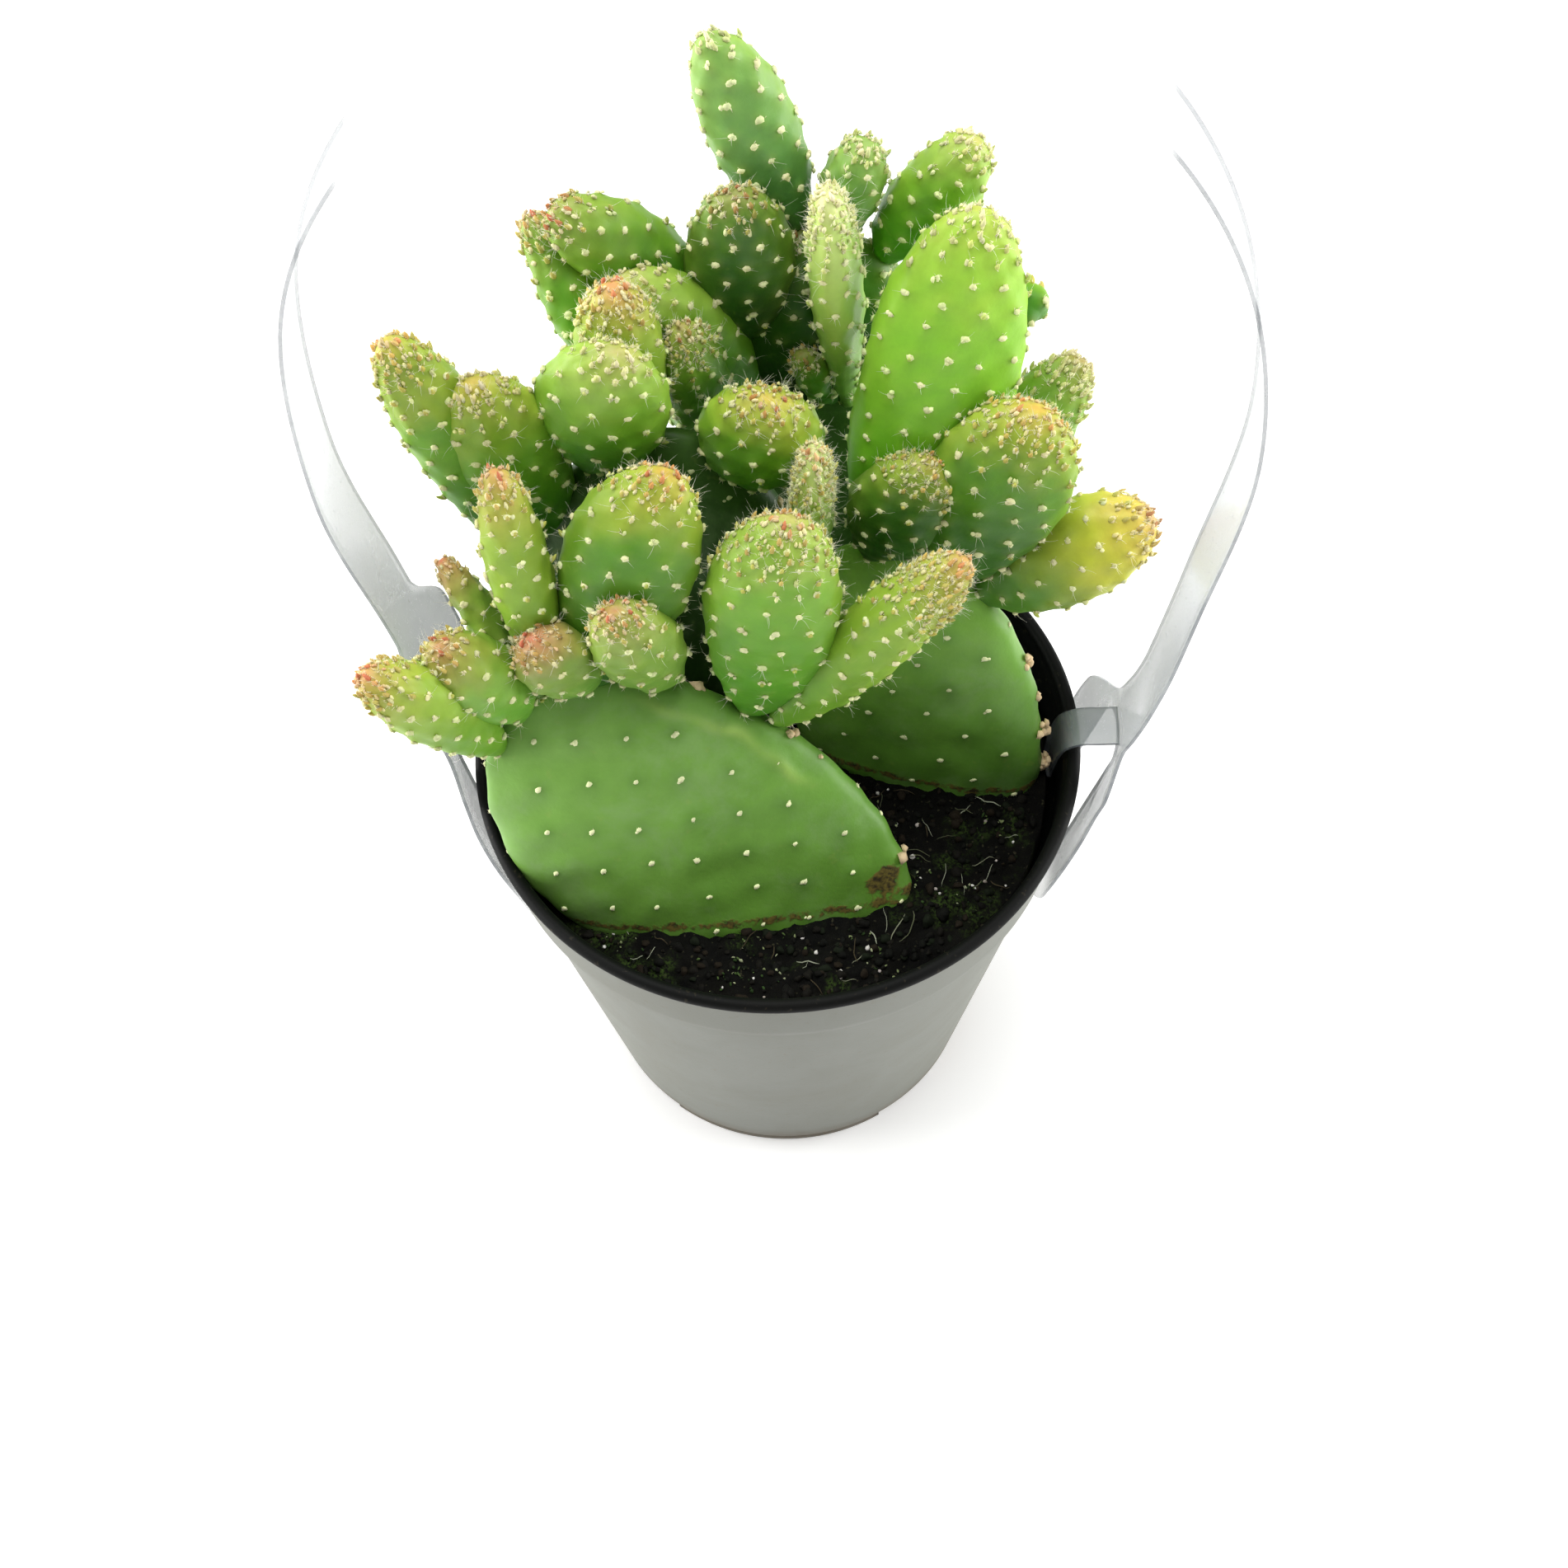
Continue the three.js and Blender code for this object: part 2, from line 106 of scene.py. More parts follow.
# For each pad: its palette, the colour of its leaf points, where its crowded crown starts as a share of
# the way along its surface, and how fluffy its areoles are.
PAD_STYLES = {
    "front_main_pad": ("mature", "brown", 1.00, 0.2),
    "right_main_pad": ("mature_shade", "brown", 1.00, 0.2),
    # the two mature pads at the back take the shaded palette: painted shade
    "left_main_pad": ("shaded", "brown", 1.00, 0.2),
    "rear_main_pad": ("shaded", "brown", 1.00, 0.2),
    "front_pad_1": ("orange_bud", "red", 0.72, 0.7),
    "front_pad_2": ("fan", "red", 0.76, 0.7),
    "front_bud_1": ("pink_tip", "red", 0.80, 0.6),
    "front_pad_3": ("orange_bud", "red", 0.77, 0.8),
    "front_bud_2": ("pink_tip", "red", 0.72, 0.9),
    "front_pad_4": ("golden", "red", 0.77, 0.8),
    "front_bud_3": ("red_bud", "red", 0.72, 1.0),
    "front_pad_5": ("pale_tip", "red", 0.69, 0.9),
    "front_pad_6": ("orange_bud", "orange", 0.64, 0.9),
    "left_pad_1": ("pale_tip", "cream", 0.79, 0.9),
    "left_pad_2": ("yellow_tip", "cream", 0.76, 0.9),
    "left_pad_3": ("yellow_tip", "orange", 0.74, 0.8),
    "left_pad_4": ("yellow_tip", "red", 0.74, 0.9),
    "left_pad_5": ("orange_bud", "red", 0.68, 0.9),
    "left_pad_6": ("rusty", "red", 0.72, 0.7),
    "right_pad_1": ("corky_tip", "brown", 0.74, 0.8),
    "right_pad_2": ("golden", "orange", 0.71, 0.9),
    "right_pad_3": ("rusty", "cream", 0.72, 0.9),
    "right_pad_4": ("lime", "cream", 0.80, 0.8),
    "right_pad_5": ("dark", "orange", 0.70, 1.0),
    "right_pad_6": ("whitish", "orange", 0.62, 1.0),
    "right_bud_1": ("yellow_tip", "orange", 0.60, 0.7),
    "rear_pad_1": ("deep", "brown", 0.80, 0.7),
    "rear_pad_2": ("deep", "brown", 0.79, 0.9),
    "rear_pad_3": ("blue_green", "cream", 0.84, 0.6),
    "rear_pad_4": ("whitish", "cream", 0.72, 1.0),
    "rear_pad_5": ("blue_green", "cream", 0.76, 0.9),
    "rear_pad_6": ("pale_tip", "cream", 0.78, 0.8),
    "rear_pad_7": ("rusty", "red", 0.78, 0.9),
    "rear_pad_8": ("pale_tip", "cream", 0.76, 0.9),
    "rear_pad_9": ("rusty", "brown", 0.70, 1.0),
    "rear_bud_1": ("rusty", "red", 0.72, 0.9),
}


# ---------------------------------------------------------------- shaders


class Value:
    """A shader socket that takes part in arithmetic."""

    def __init__(self, tree, socket):
        self.tree = tree
        self.socket = socket

    def _math(self, operation, first, second):
        node = self.tree.nodes.new("ShaderNodeMath")
        node.operation = operation
        for slot, value in zip(node.inputs, (first, second)):
            put(self.tree, slot, value)
        return Value(self.tree, node.outputs[0])

    def __add__(self, other):
        return self._math("ADD", self, other)

    def __radd__(self, other):
        return self._math("ADD", other, self)

    def __sub__(self, other):
        return self._math("SUBTRACT", self, other)

    def __rsub__(self, other):
        return self._math("SUBTRACT", other, self)

    def __mul__(self, other):
        return self._math("MULTIPLY", self, other)

    def __rmul__(self, other):
        return self._math("MULTIPLY", other, self)


def put(tree, slot, value):
    """Links a value to a socket, or sets the socket's own number or colour."""
    if isinstance(value, Value):
        tree.links.new(value.socket, slot)
    elif slot.type == "RGBA" and len(value) == 3:
        slot.default_value = (*value, 1.0)
    else:
        slot.default_value = value


class Shader:
    """One material while its nodes are being made."""

    def __init__(self, name):
        self.material = bpy.data.materials.new(name)
        self.material.use_nodes = True
        self.tree = self.material.node_tree
        self.tree.nodes.clear()

    def node(self, kind, settings=None, inputs=None, output=0):
        """Any node: its type, its settings, and then the values or links of its sockets."""
        node = self.tree.nodes.new("ShaderNode" + kind)
        for key, value in (settings or {}).items():
            if key == "stops":
                self._stops(node.color_ramp, value)
            else:
                setattr(node, key, value)
        for key, value in (inputs or {}).items():
            put(self.tree, node.inputs[key], value)
        return None if output is None else Value(self.tree, node.outputs[output])

    def _stops(self, ramp, stops):
        while len(ramp.elements) < len(stops):
            ramp.elements.new(0.5)
        for element, (position, colour) in zip(ramp.elements, stops):
            element.position = position
            element.color = (*colour, 1.0)

    def place(self):
        """Where a point is on the piece, in metres."""
        return self.node("TexCoord", output="Object")

    def coordinate(self, axis):
        """How far along an axis a point is, in metres."""
        return self.node("SeparateXYZ", None, {"Vector": self.place()}, axis)

    def attribute(self, name, output="Fac"):
        return self.node("Attribute", {"attribute_name": name}, output=output)

    def noise(self, size, detail=3.0, roughness=0.55, distortion=0.0):
        """Soft noise from 0 to 1, with features about size millimetres across."""
        inputs = {"Vector": self.place(), "Scale": 1 / (size * MM), "Detail": detail}
        inputs |= {"Roughness": roughness, "Distortion": distortion}
        return self.node("TexNoise", None, inputs)

    def ramp(self, value, low, high):
        """0 below low and 1 above high, with a smooth step between."""
        settings = {"interpolation_type": "SMOOTHSTEP"}
        return self.node("MapRange", settings, {"Value": value, "From Min": low, "From Max": high})

    def mix(self, factor, first, second):
        inputs = {0: factor, 6: first, 7: second}
        return self.node("Mix", {"data_type": "RGBA"}, inputs, 2)

    def scaled(self, colour, value):
        """A colour made lighter or darker by a value."""
        return self.node("VectorMath", {"operation": "SCALE"}, {0: colour, "Scale": value})

    def bump(self, height, strength, distance):
        inputs = {"Height": height, "Strength": strength, "Distance": distance * MM}
        return self.node("Bump", None, inputs)

    def finish(self, **inputs):
        """The surface, its sockets given by name with _ for a space."""
        named = {key.replace("_", " "): value for key, value in inputs.items()}
        self.node("OutputMaterial", None, {"Surface": self.node("BsdfPrincipled", None, named)}, None)
        return self.material


# ---------------------------------------------------------------- meshes


def ripple(points, rng, wavelength, count=7):
    """Smooth ups and downs of about 1, from waves that cross in random directions."""
    total = np.zeros(len(points))
    for _ in range(count):
        direction = rng.normal(size=3)
        direction *= 2 * math.pi / (wavelength * rng.uniform(0.7, 1.4) * np.linalg.norm(direction))
        total += np.sin(points @ direction + rng.uniform(0, 2 * math.pi))
    return total / math.sqrt(count)


def lumpy(shape, rng, amount, wavelength):
    """A shape round its own middle, made uneven."""
    return shape * (1 + amount * ripple(shape, rng, wavelength))[:, None]


def smooth_step(low, high, value):
    t = np.clip((value - low) / (high - low), 0, 1)
    return t * t * (3 - 2 * t)


def lengths_along(path):
    """How far along a path each of its points is."""
    return np.concatenate([[0], np.cumsum(np.linalg.norm(np.diff(path, axis=0), axis=1))])


def add_object(name, data):
    """A new object in the scene."""
    thing = bpy.data.objects.new(name, data)
    bpy.context.scene.collection.objects.link(thing)
    return thing


def add_mesh(name, points, faces):
    """A new mesh object in the scene. Points are in metres."""
    mesh = bpy.data.meshes.new(name)
    mesh.from_pydata(np.asarray(points, float).tolist(), [], faces)
    return add_object(name, mesh)


def make_piece(name, points, faces, materials, replaces=(), attributes=None, indices=None):
    """A smooth mesh piece that rides on the one body. Points are in millimetres."""
    piece = add_mesh(name, np.asarray(points) * MM, faces)
    mesh = piece.data
    for key, values in (attributes or {}).items():
        values = np.asarray(values, np.float32)
        if values.ndim == 2:
            layer = mesh.attributes.new(key, "FLOAT_COLOR", "POINT")
            full = np.ones((len(values), 4), np.float32)
            full[:, :3] = values
            layer.data.foreach_set("color", full.ravel())
        else:
            layer = mesh.attributes.new(key, "FLOAT", "POINT")
            layer.data.foreach_set("value", values)
    for material in materials:
        mesh.materials.append(material)
    if indices is not None:
        mesh.polygons.foreach_set("material_index", np.asarray(indices, np.int32))
    mesh.polygons.foreach_set("use_smooth", np.ones(len(mesh.polygons), bool))
    mesh.update()
    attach(piece, "root")
    if replaces:
        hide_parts(*replaces)
    return piece


UNTINTED = (1, 1, 1)  # for shapes whose finish doesn't use the colour of their points


class Parts:
    """Collects many small shapes into one mesh, with a colour for each point."""

    def __init__(self):
        self.points = []
        self.faces = []
        self.tints = []
        self.count = 0

    def add(self, points, faces, tint):
        start = self.count
        self.points.append(points)
        self.faces.extend([tuple(corner + start for corner in face) for face in faces])
        self.tints.append(np.broadcast_to(np.asarray(tint, float), (len(points), 3)))
        self.count += len(points)

    def make(self, name, material):
        points = np.concatenate(self.points)
        tints = np.concatenate(self.tints)
        return make_piece(name, points, self.faces, [material], attributes={"tint": tints})


def lathe(profile, segments):
    """A closed surface turned round +Z from (radius, height) pairs that start and end on the axis."""
    rings = [(radius, height) for radius, height in profile if radius > 0]
    angles = np.arange(segments) * 2 * math.pi / segments
    points = [(0, 0, profile[0][1])]
    for radius, height in rings:
        points.extend((radius * math.cos(a), radius * math.sin(a), height) for a in angles)
    points.append((0, 0, profile[-1][1]))
    faces = []
    last = len(points) - 1
    for k in range(segments):
        n = (k + 1) % segments
        faces.append((0, 1 + k, 1 + n))
        for ring in range(len(rings) - 1):
            a = 1 + ring * segments
            b = a + segments
            faces.append((a + k, b + k, b + n, a + n))
        a = 1 + (len(rings) - 1) * segments
        faces.append((a + k, last, a + n))
    return np.array(points), faces


def ring_faces(rings, sides, start=0):
    """Faces between rings of points that follow each other, of which the first point has number start."""
    faces = []
    for ring in range(rings - 1):
        a = start + ring * sides
        b = a + sides
        for k in range(sides):
            n = (k + 1) % sides
            faces.append((a + k, a + n, b + n, b + k))
    return faces


def tube(path, radii, sides):
    """A closed tube with a point at each end, along a path of 3-D points."""
    path = np.asarray(path, float)
    step = np.gradient(path, axis=0)
    step /= np.linalg.norm(step, axis=1)[:, None] + 1e-9
    helper = np.array([0.31, 0.52, 0.79])
    side = np.cross(step, helper)
    side /= np.linalg.norm(side, axis=1)[:, None] + 1e-9
    up = np.cross(side, step)
    angles = np.arange(sides) * 2 * math.pi / sides
    ring = np.cos(angles)[None, :, None] * side[:, None] + np.sin(angles)[None, :, None] * up[:, None]
    points = path[:, None] + ring * np.asarray(radii)[:, None, None]
    faces = ring_faces(len(path), sides)
    faces.append(tuple(range(sides - 1, -1, -1)))
    faces.append(tuple((len(path) - 1) * sides + k for k in range(sides)))
    return points.reshape(-1, 3), faces


def grain(detail):
    """A round grain of radius 1 as points and faces."""
    shape = bmesh.new()
    bmesh.ops.create_icosphere(shape, subdivisions=detail, radius=1)
    shape.verts.ensure_lookup_table()
    points = np.array([v.co for v in shape.verts])
    faces = [tuple(v.index for v in face.verts) for face in shape.faces]
    shape.free()
    return points, faces


# ---------------------------------------------------------------- pads measured from the frame

FACING = np.array([0.0, -1.0, 0.5])  # the way that a pad's front looks
BIG = 35  # pads at least this wide are the mature ones
TIP_SWELL = 0.18  # what the fullness gains evenly from a pad's middle to its tip, and loses to its stem
WAIST_SWELL = 0.12  # what the middle gains on top of that
FIT_LIMIT = 1.3
LEVEL_LIMIT = 1.2
GOOD_FIT = 0.5  # the share of points on a guessed pad that ends the search
MATURE_FLATNESS = 2.5  # 2 is an ellipse; more is flatter with rounder edges
YOUNG_FLATNESS = 2.06
BROAD_UNEVEN = 0.014  # height of the broad swells, as a share of a pad's width
MATURE_UNEVEN = 0.14  # height of the small ones, in millimetres
YOUNG_UNEVEN = 0.1
LEAN = 0.02  # how far a pad bends to one side, as a share of its width
STREAMS = {
    "broad": 1, "small": 2, "lean": 3, "areoles": 10, "rim": 11, "tint": 20, "fine_tint": 21, "felt": 30,
}  # the number that each kind of variation starts its random numbers from
SINK = 0.3  # how far the skin lies inside the frame's pad, to leave room for the mounds and felt
FIT_BANDS = (0.4, 0.15, 0.05, 0.01)  # how far off a point may be, step by step, and still count
FIT_ROUNDS = 9
NUDGE = 1e-4  # how far each number of a guess is moved to see what it does
SMALLEST = 3  # no pad is shorter, narrower or thinner than this


def swell(along):
    """How much fuller (over 1) or slimmer a pad is than an ellipsoid, from its stem (-1) to its tip (1)."""
    return 0.9 + TIP_SWELL * along + WAIST_SWELL * (1 - along * along)


def turn_matrix(turn):
    """The matrix of a turn given as its axis times its angle."""
    angle = np.linalg.norm(turn)
    if angle < 1e-12:
        return np.eye(3)
    x, y, z = turn / angle
    cross = np.array([[0, -z, y], [z, 0, -x], [-y, x, 0]])
    return np.eye(3) + math.sin(angle) * cross + (1 - math.cos(angle)) * cross @ cross


def outside(local, length, width, thick, limit):
    """How far points are outside (over 0) or inside (under 0) a pad, as a share of its size, from their
    places in its own axes. Beyond limit along it the fullness stays the same."""
    along = local[:, 2] / (length / 2) - 1
    fuller = swell(np.clip(along, -limit, limit))
    across = local[:, 0] / (fuller * width / 2)
    back = local[:, 1] / (fuller * thick / 2)
    return np.sqrt(across**2 + back**2 + along**2) - 1


def reach(points, guess, axes):
    """How far points are outside a guessed pad. The guess holds its stem end, a small turn of its axes,
    its length, width and thickness."""
    return outside((points - guess[:3]) @ turn_matrix(guess[3:6]) @ axes, *guess[6:], FIT_LIMIT)


def improve(points, guess, axes):
    """Moves the guess until most points lie on the pad, and gives it with how many do."""
    for band in FIT_BANDS:
        damping = 1e-3
        for _ in range(FIT_ROUNDS):
            off = reach(points, guess, axes)
            weight = 1 / (1 + (off / band) ** 2) ** 2
            slopes = np.empty((len(points), len(guess)))
            for k in range(len(guess)):
                nudged = guess.copy()
                nudged[k] += NUDGE
                slopes[:, k] = (reach(points, nudged, axes) - off) / NUDGE
            square = (slopes * weight[:, None]).T @ slopes
            pull = (slopes * weight[:, None]).T @ off
            step = np.linalg.solve(square + damping * np.diag(np.diag(square) + 1e-9), -pull)
            moved = guess + step
            moved[6:] = np.maximum(moved[6:], SMALLEST)
            new = reach(points, moved, axes)
            if (new**2 / (new**2 + band**2)).sum() < (off**2 / (off**2 + band**2)).sum():
                guess = moved
                damping = max(damping / 5, 1e-6)
            else:
                damping *= 8
    off = reach(points, guess, axes)
    return guess, (1 / (1 + (off / FIT_BANDS[-1]) ** 2)).mean()


def fit_pad(points):
    """The pad whose surface passes through a frame mesh's points, some of which lie on cuts."""
    middle = points.mean(0)
    long_axes = np.linalg.svd(points - middle, full_matrices=False)[2]
    best = None
    for longest in range(3):
        for sign in (1, -1):
            up = long_axes[longest] * sign
            across = long_axes[(longest + 1) % 3]
            axes = np.stack([across, np.cross(up, across), up], 1)
            local = points @ axes
            low, high = local.min(0), local.max(0)
            stem = axes @ np.array([*(low + high)[:2] / 2, low[2]])
            size = (high - low)[[2, 0, 1]]
            guess, share = improve(points, np.concatenate([stem, np.zeros(3), size]), axes)
            if best is None or share > best[0]:
                best = (share, guess, turn_matrix(guess[3:6]) @ axes)
        if best[0] > GOOD_FIT:
            break
    return best


class Pad:
    """A pad of the frame: its place, its size, and a fine skin in its own axes (across, back, up)."""

    def __init__(self, name, seed):
        self.name = name
        self.palette, self.leaf, self.crown, self.fluff = PAD_STYLES[name]
        mesh = NODES[name].data
        places = np.unique(np.round(np.array([v.co for v in mesh.vertices]) / MM, 3), axis=0)
        _, guess, axes = fit_pad(places)
        self.stem, self.length = guess[:3], guess[6]
        self.width, self.thick = guess[7:9]
        if self.thick > self.width:
            axes = axes[:, [1, 0, 2]] * (-1, 1, 1)
            self.width, self.thick = self.thick, self.width
        if axes[:, 1] @ FACING > 0:
            axes = axes * (-1, -1, 1)
        self.axes = axes
        self.seed = seed
        self.mature = self.width >= BIG
        self.flatness = MATURE_FLATNESS if self.mature else YOUNG_FLATNESS

    def rng(self, stream):
        """The pad's own random numbers for one of the things that vary over it."""
        return np.random.default_rng([self.seed, STREAMS[stream]])

    def to_world(self, local):
        return self.stem + local @ self.axes.T

    def level(self, world):
        """Under 0 inside the pad and over 0 outside."""
        local = (world - self.stem) @ self.axes
        return outside(local, self.length, self.width, self.thick, LEVEL_LIMIT)

    def ring_point(self, turn, climb):
        """A point of the plain surface at an angle round the pad and from 0, its stem, to pi, its tip."""
        along = -np.cos(climb)
        ring = np.sin(climb) * swell(along)
        power = 2 / self.flatness
        cosine, sine = np.cos(turn), np.sin(turn)
        across = np.sign(cosine) * np.abs(cosine) ** power * ring * self.width / 2
        back = np.sign(sine) * np.abs(sine) ** power * ring * self.thick / 2
        return np.stack([across, back, (1 + along) * self.length / 2], -1)

    def face_point(self, across, along, side):
        """A point of the plain surface on the front (side -1) or the back (1), for a share across."""
        ring = np.sqrt(1 - along**2) * swell(along)
        back = side * (1 - np.abs(across) ** self.flatness) ** (1 / self.flatness) * ring * self.thick / 2
        return np.stack([across * ring * self.width / 2, back, (1 + along) * self.length / 2], -1)

    def climb(self, local):
        """How far along the surface a point is, as a share of the way from the stem to the tip."""
        return np.arccos(np.clip(1 - 2 * local[:, 2] / self.length, -1, 1)) / math.pi

    def crowding(self, climb):
        """How crowded the areoles are at a share of the way along the surface."""
        return smooth_step(self.crown - 0.12, min(1.0, self.crown + 0.1), climb)

    def normal(self, local):
        """The way out of the plain surface."""
        along = np.clip(local[:, 2] / (self.length / 2) - 1, -1, 1)
        fuller = swell(along)
        power = self.flatness - 1
        across = np.abs(local[:, 0] / (fuller * self.width / 2)) ** power * np.sign(local[:, 0])
        back = np.abs(local[:, 1] / (fuller * self.thick / 2)) ** power * np.sign(local[:, 1])
        slope = (TIP_SWELL - 2 * WAIST_SWELL * along) / fuller
        up = along - slope * (1 - along**2)
        out = np.stack([across / (self.width / 2), back / (self.thick / 2), up / (self.length / 2)], -1)
        return out / (np.linalg.norm(out, axis=1)[:, None] + 1e-12)

    def shaped(self, local):
        """Plain surface points moved to the uneven surface that a grown pad has."""
        out = self.normal(local)
        broad = ripple(local, self.rng("broad"), self.length * 0.9)
        small = ripple(local, self.rng("small"), 9.0)
        uneven = MATURE_UNEVEN if self.mature else YOUNG_UNEVEN
        amount = BROAD_UNEVEN * self.width * broad + uneven * small - SINK
        moved = local + out * amount[:, None]
        lean = ripple(np.stack([local[:, 2]] * 3, -1), self.rng("lean"), self.length * 1.6, 2)
        along = local[:, 2] / self.length
        moved[:, 0] += LEAN * self.width * lean * along * (1 - along) * 4
        return moved


PADS = {name: Pad(name, seed) for seed, name in enumerate(PAD_STYLES)}


# ---------------------------------------------------------------- where areoles sit

BURIED = -0.02  # an areole is left out when it is further inside another pad than this share of its size
FIRST_ROW = 0.45  # where the first row on a young pad is, from 0, its stem, to pi, its tip
TIP_GAP = 0.12
ROW_GAP = 0.78  # gap between rows, as a share of the gap along a row
EDGE_MARGIN = 2.2  # how far the pattern on a mature pad's face stays from its edge


def ring_places(pad, climb, spacing, shift):
    """Angles round a pad, about spacing apart along its surface, at one climb from stem to tip."""
    turns = np.linspace(0, 2 * math.pi, 97)
    ring = pad.ring_point(turns, np.full_like(turns, climb))
    steps = lengths_along(ring)
    count = max(3, round(steps[-1] / spacing))
    wanted = ((np.arange(count) + shift) % count) / count * steps[-1]
    return np.interp(wanted, steps, turns)


def young_areoles(pad, spacing):
    """Places in rows round a young pad, which crowd together towards its tip."""
    rng = pad.rng("areoles")
    spots = []
    climb = FIRST_ROW
    row = 0
    while climb < math.pi - TIP_GAP:
        gap = spacing * (1 - 0.6 * pad.crowding(climb / math.pi))
        for turn in ring_places(pad, climb, gap, 0.5 * (row % 2) + 0.07 * row):
            here = climb + rng.normal() * 0.1 * gap / pad.length
            spots.append((turn + rng.normal() * 0.03, here))
        row += 1
        slope = pad.ring_point(np.zeros(2), np.array([climb, climb + 0.01]))
        climb += 0.01 * gap * ROW_GAP / max(np.linalg.norm(slope[1] - slope[0]), 1e-6)
    turns, climbs = np.array(spots).T
    return pad.ring_point(turns, np.minimum(climbs, math.pi - 0.02))


def mature_areoles(pad, spacing):
    """A diamond pattern on both faces of a mature pad."""
    rng = pad.rng("areoles")
    spots = []
    for side in (-1, 1):
        rows = int(pad.length / (spacing * 0.5))
        for row in range(1, rows):
            along = -1 + 2 * row / rows
            half = math.sqrt(1 - along**2) * swell(along) * pad.width / 2
            for k in range(-6, 7):
                x = (k + 0.5 * (row % 2)) * spacing + rng.normal() * 0.04 * spacing
                if abs(x) < half - EDGE_MARGIN:
                    wander = rng.normal() * 0.03 * spacing / pad.length
                    spots.append(pad.face_point(np.array(x / half), np.array(along + wander), side))
    return np.array(spots)


def rim_areoles(pad, spacing):
    """Places along both edges of a mature pad."""
    rng = pad.rng("rim")
    spots = []
    for turn in (0.0, math.pi):
        climbs = np.linspace(0.5, math.pi - 0.05, 300)
        edge = pad.ring_point(np.full_like(climbs, turn), climbs)
        steps = lengths_along(edge)
        count = int(steps[-1] / spacing)
        wanted = (np.arange(count) + 0.5 + rng.normal(size=count) * 0.08) * spacing
        found = np.interp(wanted, steps, climbs)
        spots.append(pad.ring_point(turn + rng.normal(size=count) * 0.05, found))
    return np.concatenate(spots)


def clear_of_others(pad, world):
    """Which points are neither inside another pad nor under the soil."""
    free = world[:, 2] > SOIL_TOP + 0.5
    for other in PADS.values():
        if other is not pad:
            free &= other.level(world) > BURIED
    return free


def tubercles(local, spots, height, radius):
    """How far the skin stands out at each point for the low mound under each areole, and a mask of them."""
    rise = np.zeros(len(local))
    near = np.zeros(len(local))
    for spot in spots:
        square = ((local - spot) ** 2).sum(1)
        rise = np.maximum(rise, np.exp(-square / (2 * radius**2)))
        near = np.maximum(near, np.exp(-square / (2 * (radius * 0.62) ** 2)))
    return rise * height, near


# ---------------------------------------------------------------- settings

SOIL_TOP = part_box("soil")[1].z / MM - 1.6
POT_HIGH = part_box("pot")[1].z / MM
RIM_RADIUS = (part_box("pot")[1].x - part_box("pot")[0].x) / 2 / MM


def colour_setting(name, description, colour):
    return FloatVectorProperty(
        name=name, description=description, subtype="COLOR", size=3, min=0, max=1, default=srgb(*colour)
    )


def size_setting(name, description, default, low=0.0, high=100.0):
    return FloatProperty(
        name=name, description=description, default=default * MM, min=low * MM, max=high * MM,
        unit="LENGTH", subtype="DISTANCE", precision=5,
    )


def share_setting(name, description, default, high=1.0):
    return FloatProperty(name=name, description=description, default=default, min=0, max=high)


class PotSettings(bpy.types.PropertyGroup):
    outside: colour_setting("Outside", "Colour of the pot's outside", (112, 114, 105))
    inside: colour_setting("Inside and lip", "Colour of the pot's inside and lip", (5, 6, 5))
    dirt: share_setting("Dirt", "How much dust and splashed soil is on the pot", 0.35)
    rim_radius: size_setting("Rim radius", "Outside radius of the lip", RIM_RADIUS, 20, 90)
    height: size_setting("Height", "Height of the pot", POT_HIGH, 40, 160)


class SoilSettings(bpy.types.PropertyGroup):
    colour: colour_setting("Soil", "Colour of the damp soil", (11, 10, 6))
    moss: colour_setting("Moss", "Colour of the moss on the soil", (58, 78, 30))
    perlite: IntProperty(name="Perlite", description="How many white grains lie on it", default=120, min=0)
    crumbs: IntProperty(name="Crumbs", description="How many crumbs lie on it", default=1500, min=0)
    fibres: IntProperty(name="Fibres", description="How many root fibres lie on it", default=150, min=0)


class PadSettings(bpy.types.PropertyGroup):
    mature_spacing: size_setting("Mature spacing", "Gap between areoles on a mature pad", 11.0, 3, 30)
    young_spacing: size_setting("Young spacing", "Gap between areoles on a young pad", 4.6, 2, 12)
    mound: size_setting("Mound height", "Height of the mound under a young pad's areole", 0.45, 0, 2)
    bloom: share_setting("Bloom", "How much waxy bloom the mature pads have", 0.24)
    mottling: share_setting("Mottling", "How uneven the green is", 0.36)
    edge: colour_setting("Young edge", "Colour that the edges of young pads turn to", (176, 200, 78))
    dent: colour_setting("Dent", "Colour of the bruised dent in a right pad", (40, 100, 46))
    scar: colour_setting("Scar", "Colour of the dry scars and corky edges", (110, 98, 38))


class AreoleSettings(bpy.types.PropertyGroup):
    felt: colour_setting("Felt", "Colour of the felt cushions", (230, 234, 182))
    old_felt: colour_setting("Old felt", "Colour of the corky felt on old edges", (232, 206, 164))
    bristle: colour_setting("Bristles", "Colour of the short bristles", (242, 236, 200))
    hair: colour_setting("Hairs", "Colour of the long fine hairs", (238, 236, 218))
    cushion: size_setting("Cushion radius", "Radius of a felt cushion", 0.62, 0.2, 3)


class StrapSettings(bpy.types.PropertyGroup):
    tint: colour_setting("Tint", "Colour of the clear plastic", (160, 165, 170))
    edge: colour_setting("Cut edge", "Colour of the plastic's cut edge", (112, 118, 124))
    opacity: share_setting("Opacity", "How much the plastic hides", 0.34)
    thickness: size_setting("Thickness", "Thickness of the sheet", 0.6, 0.2, 3)


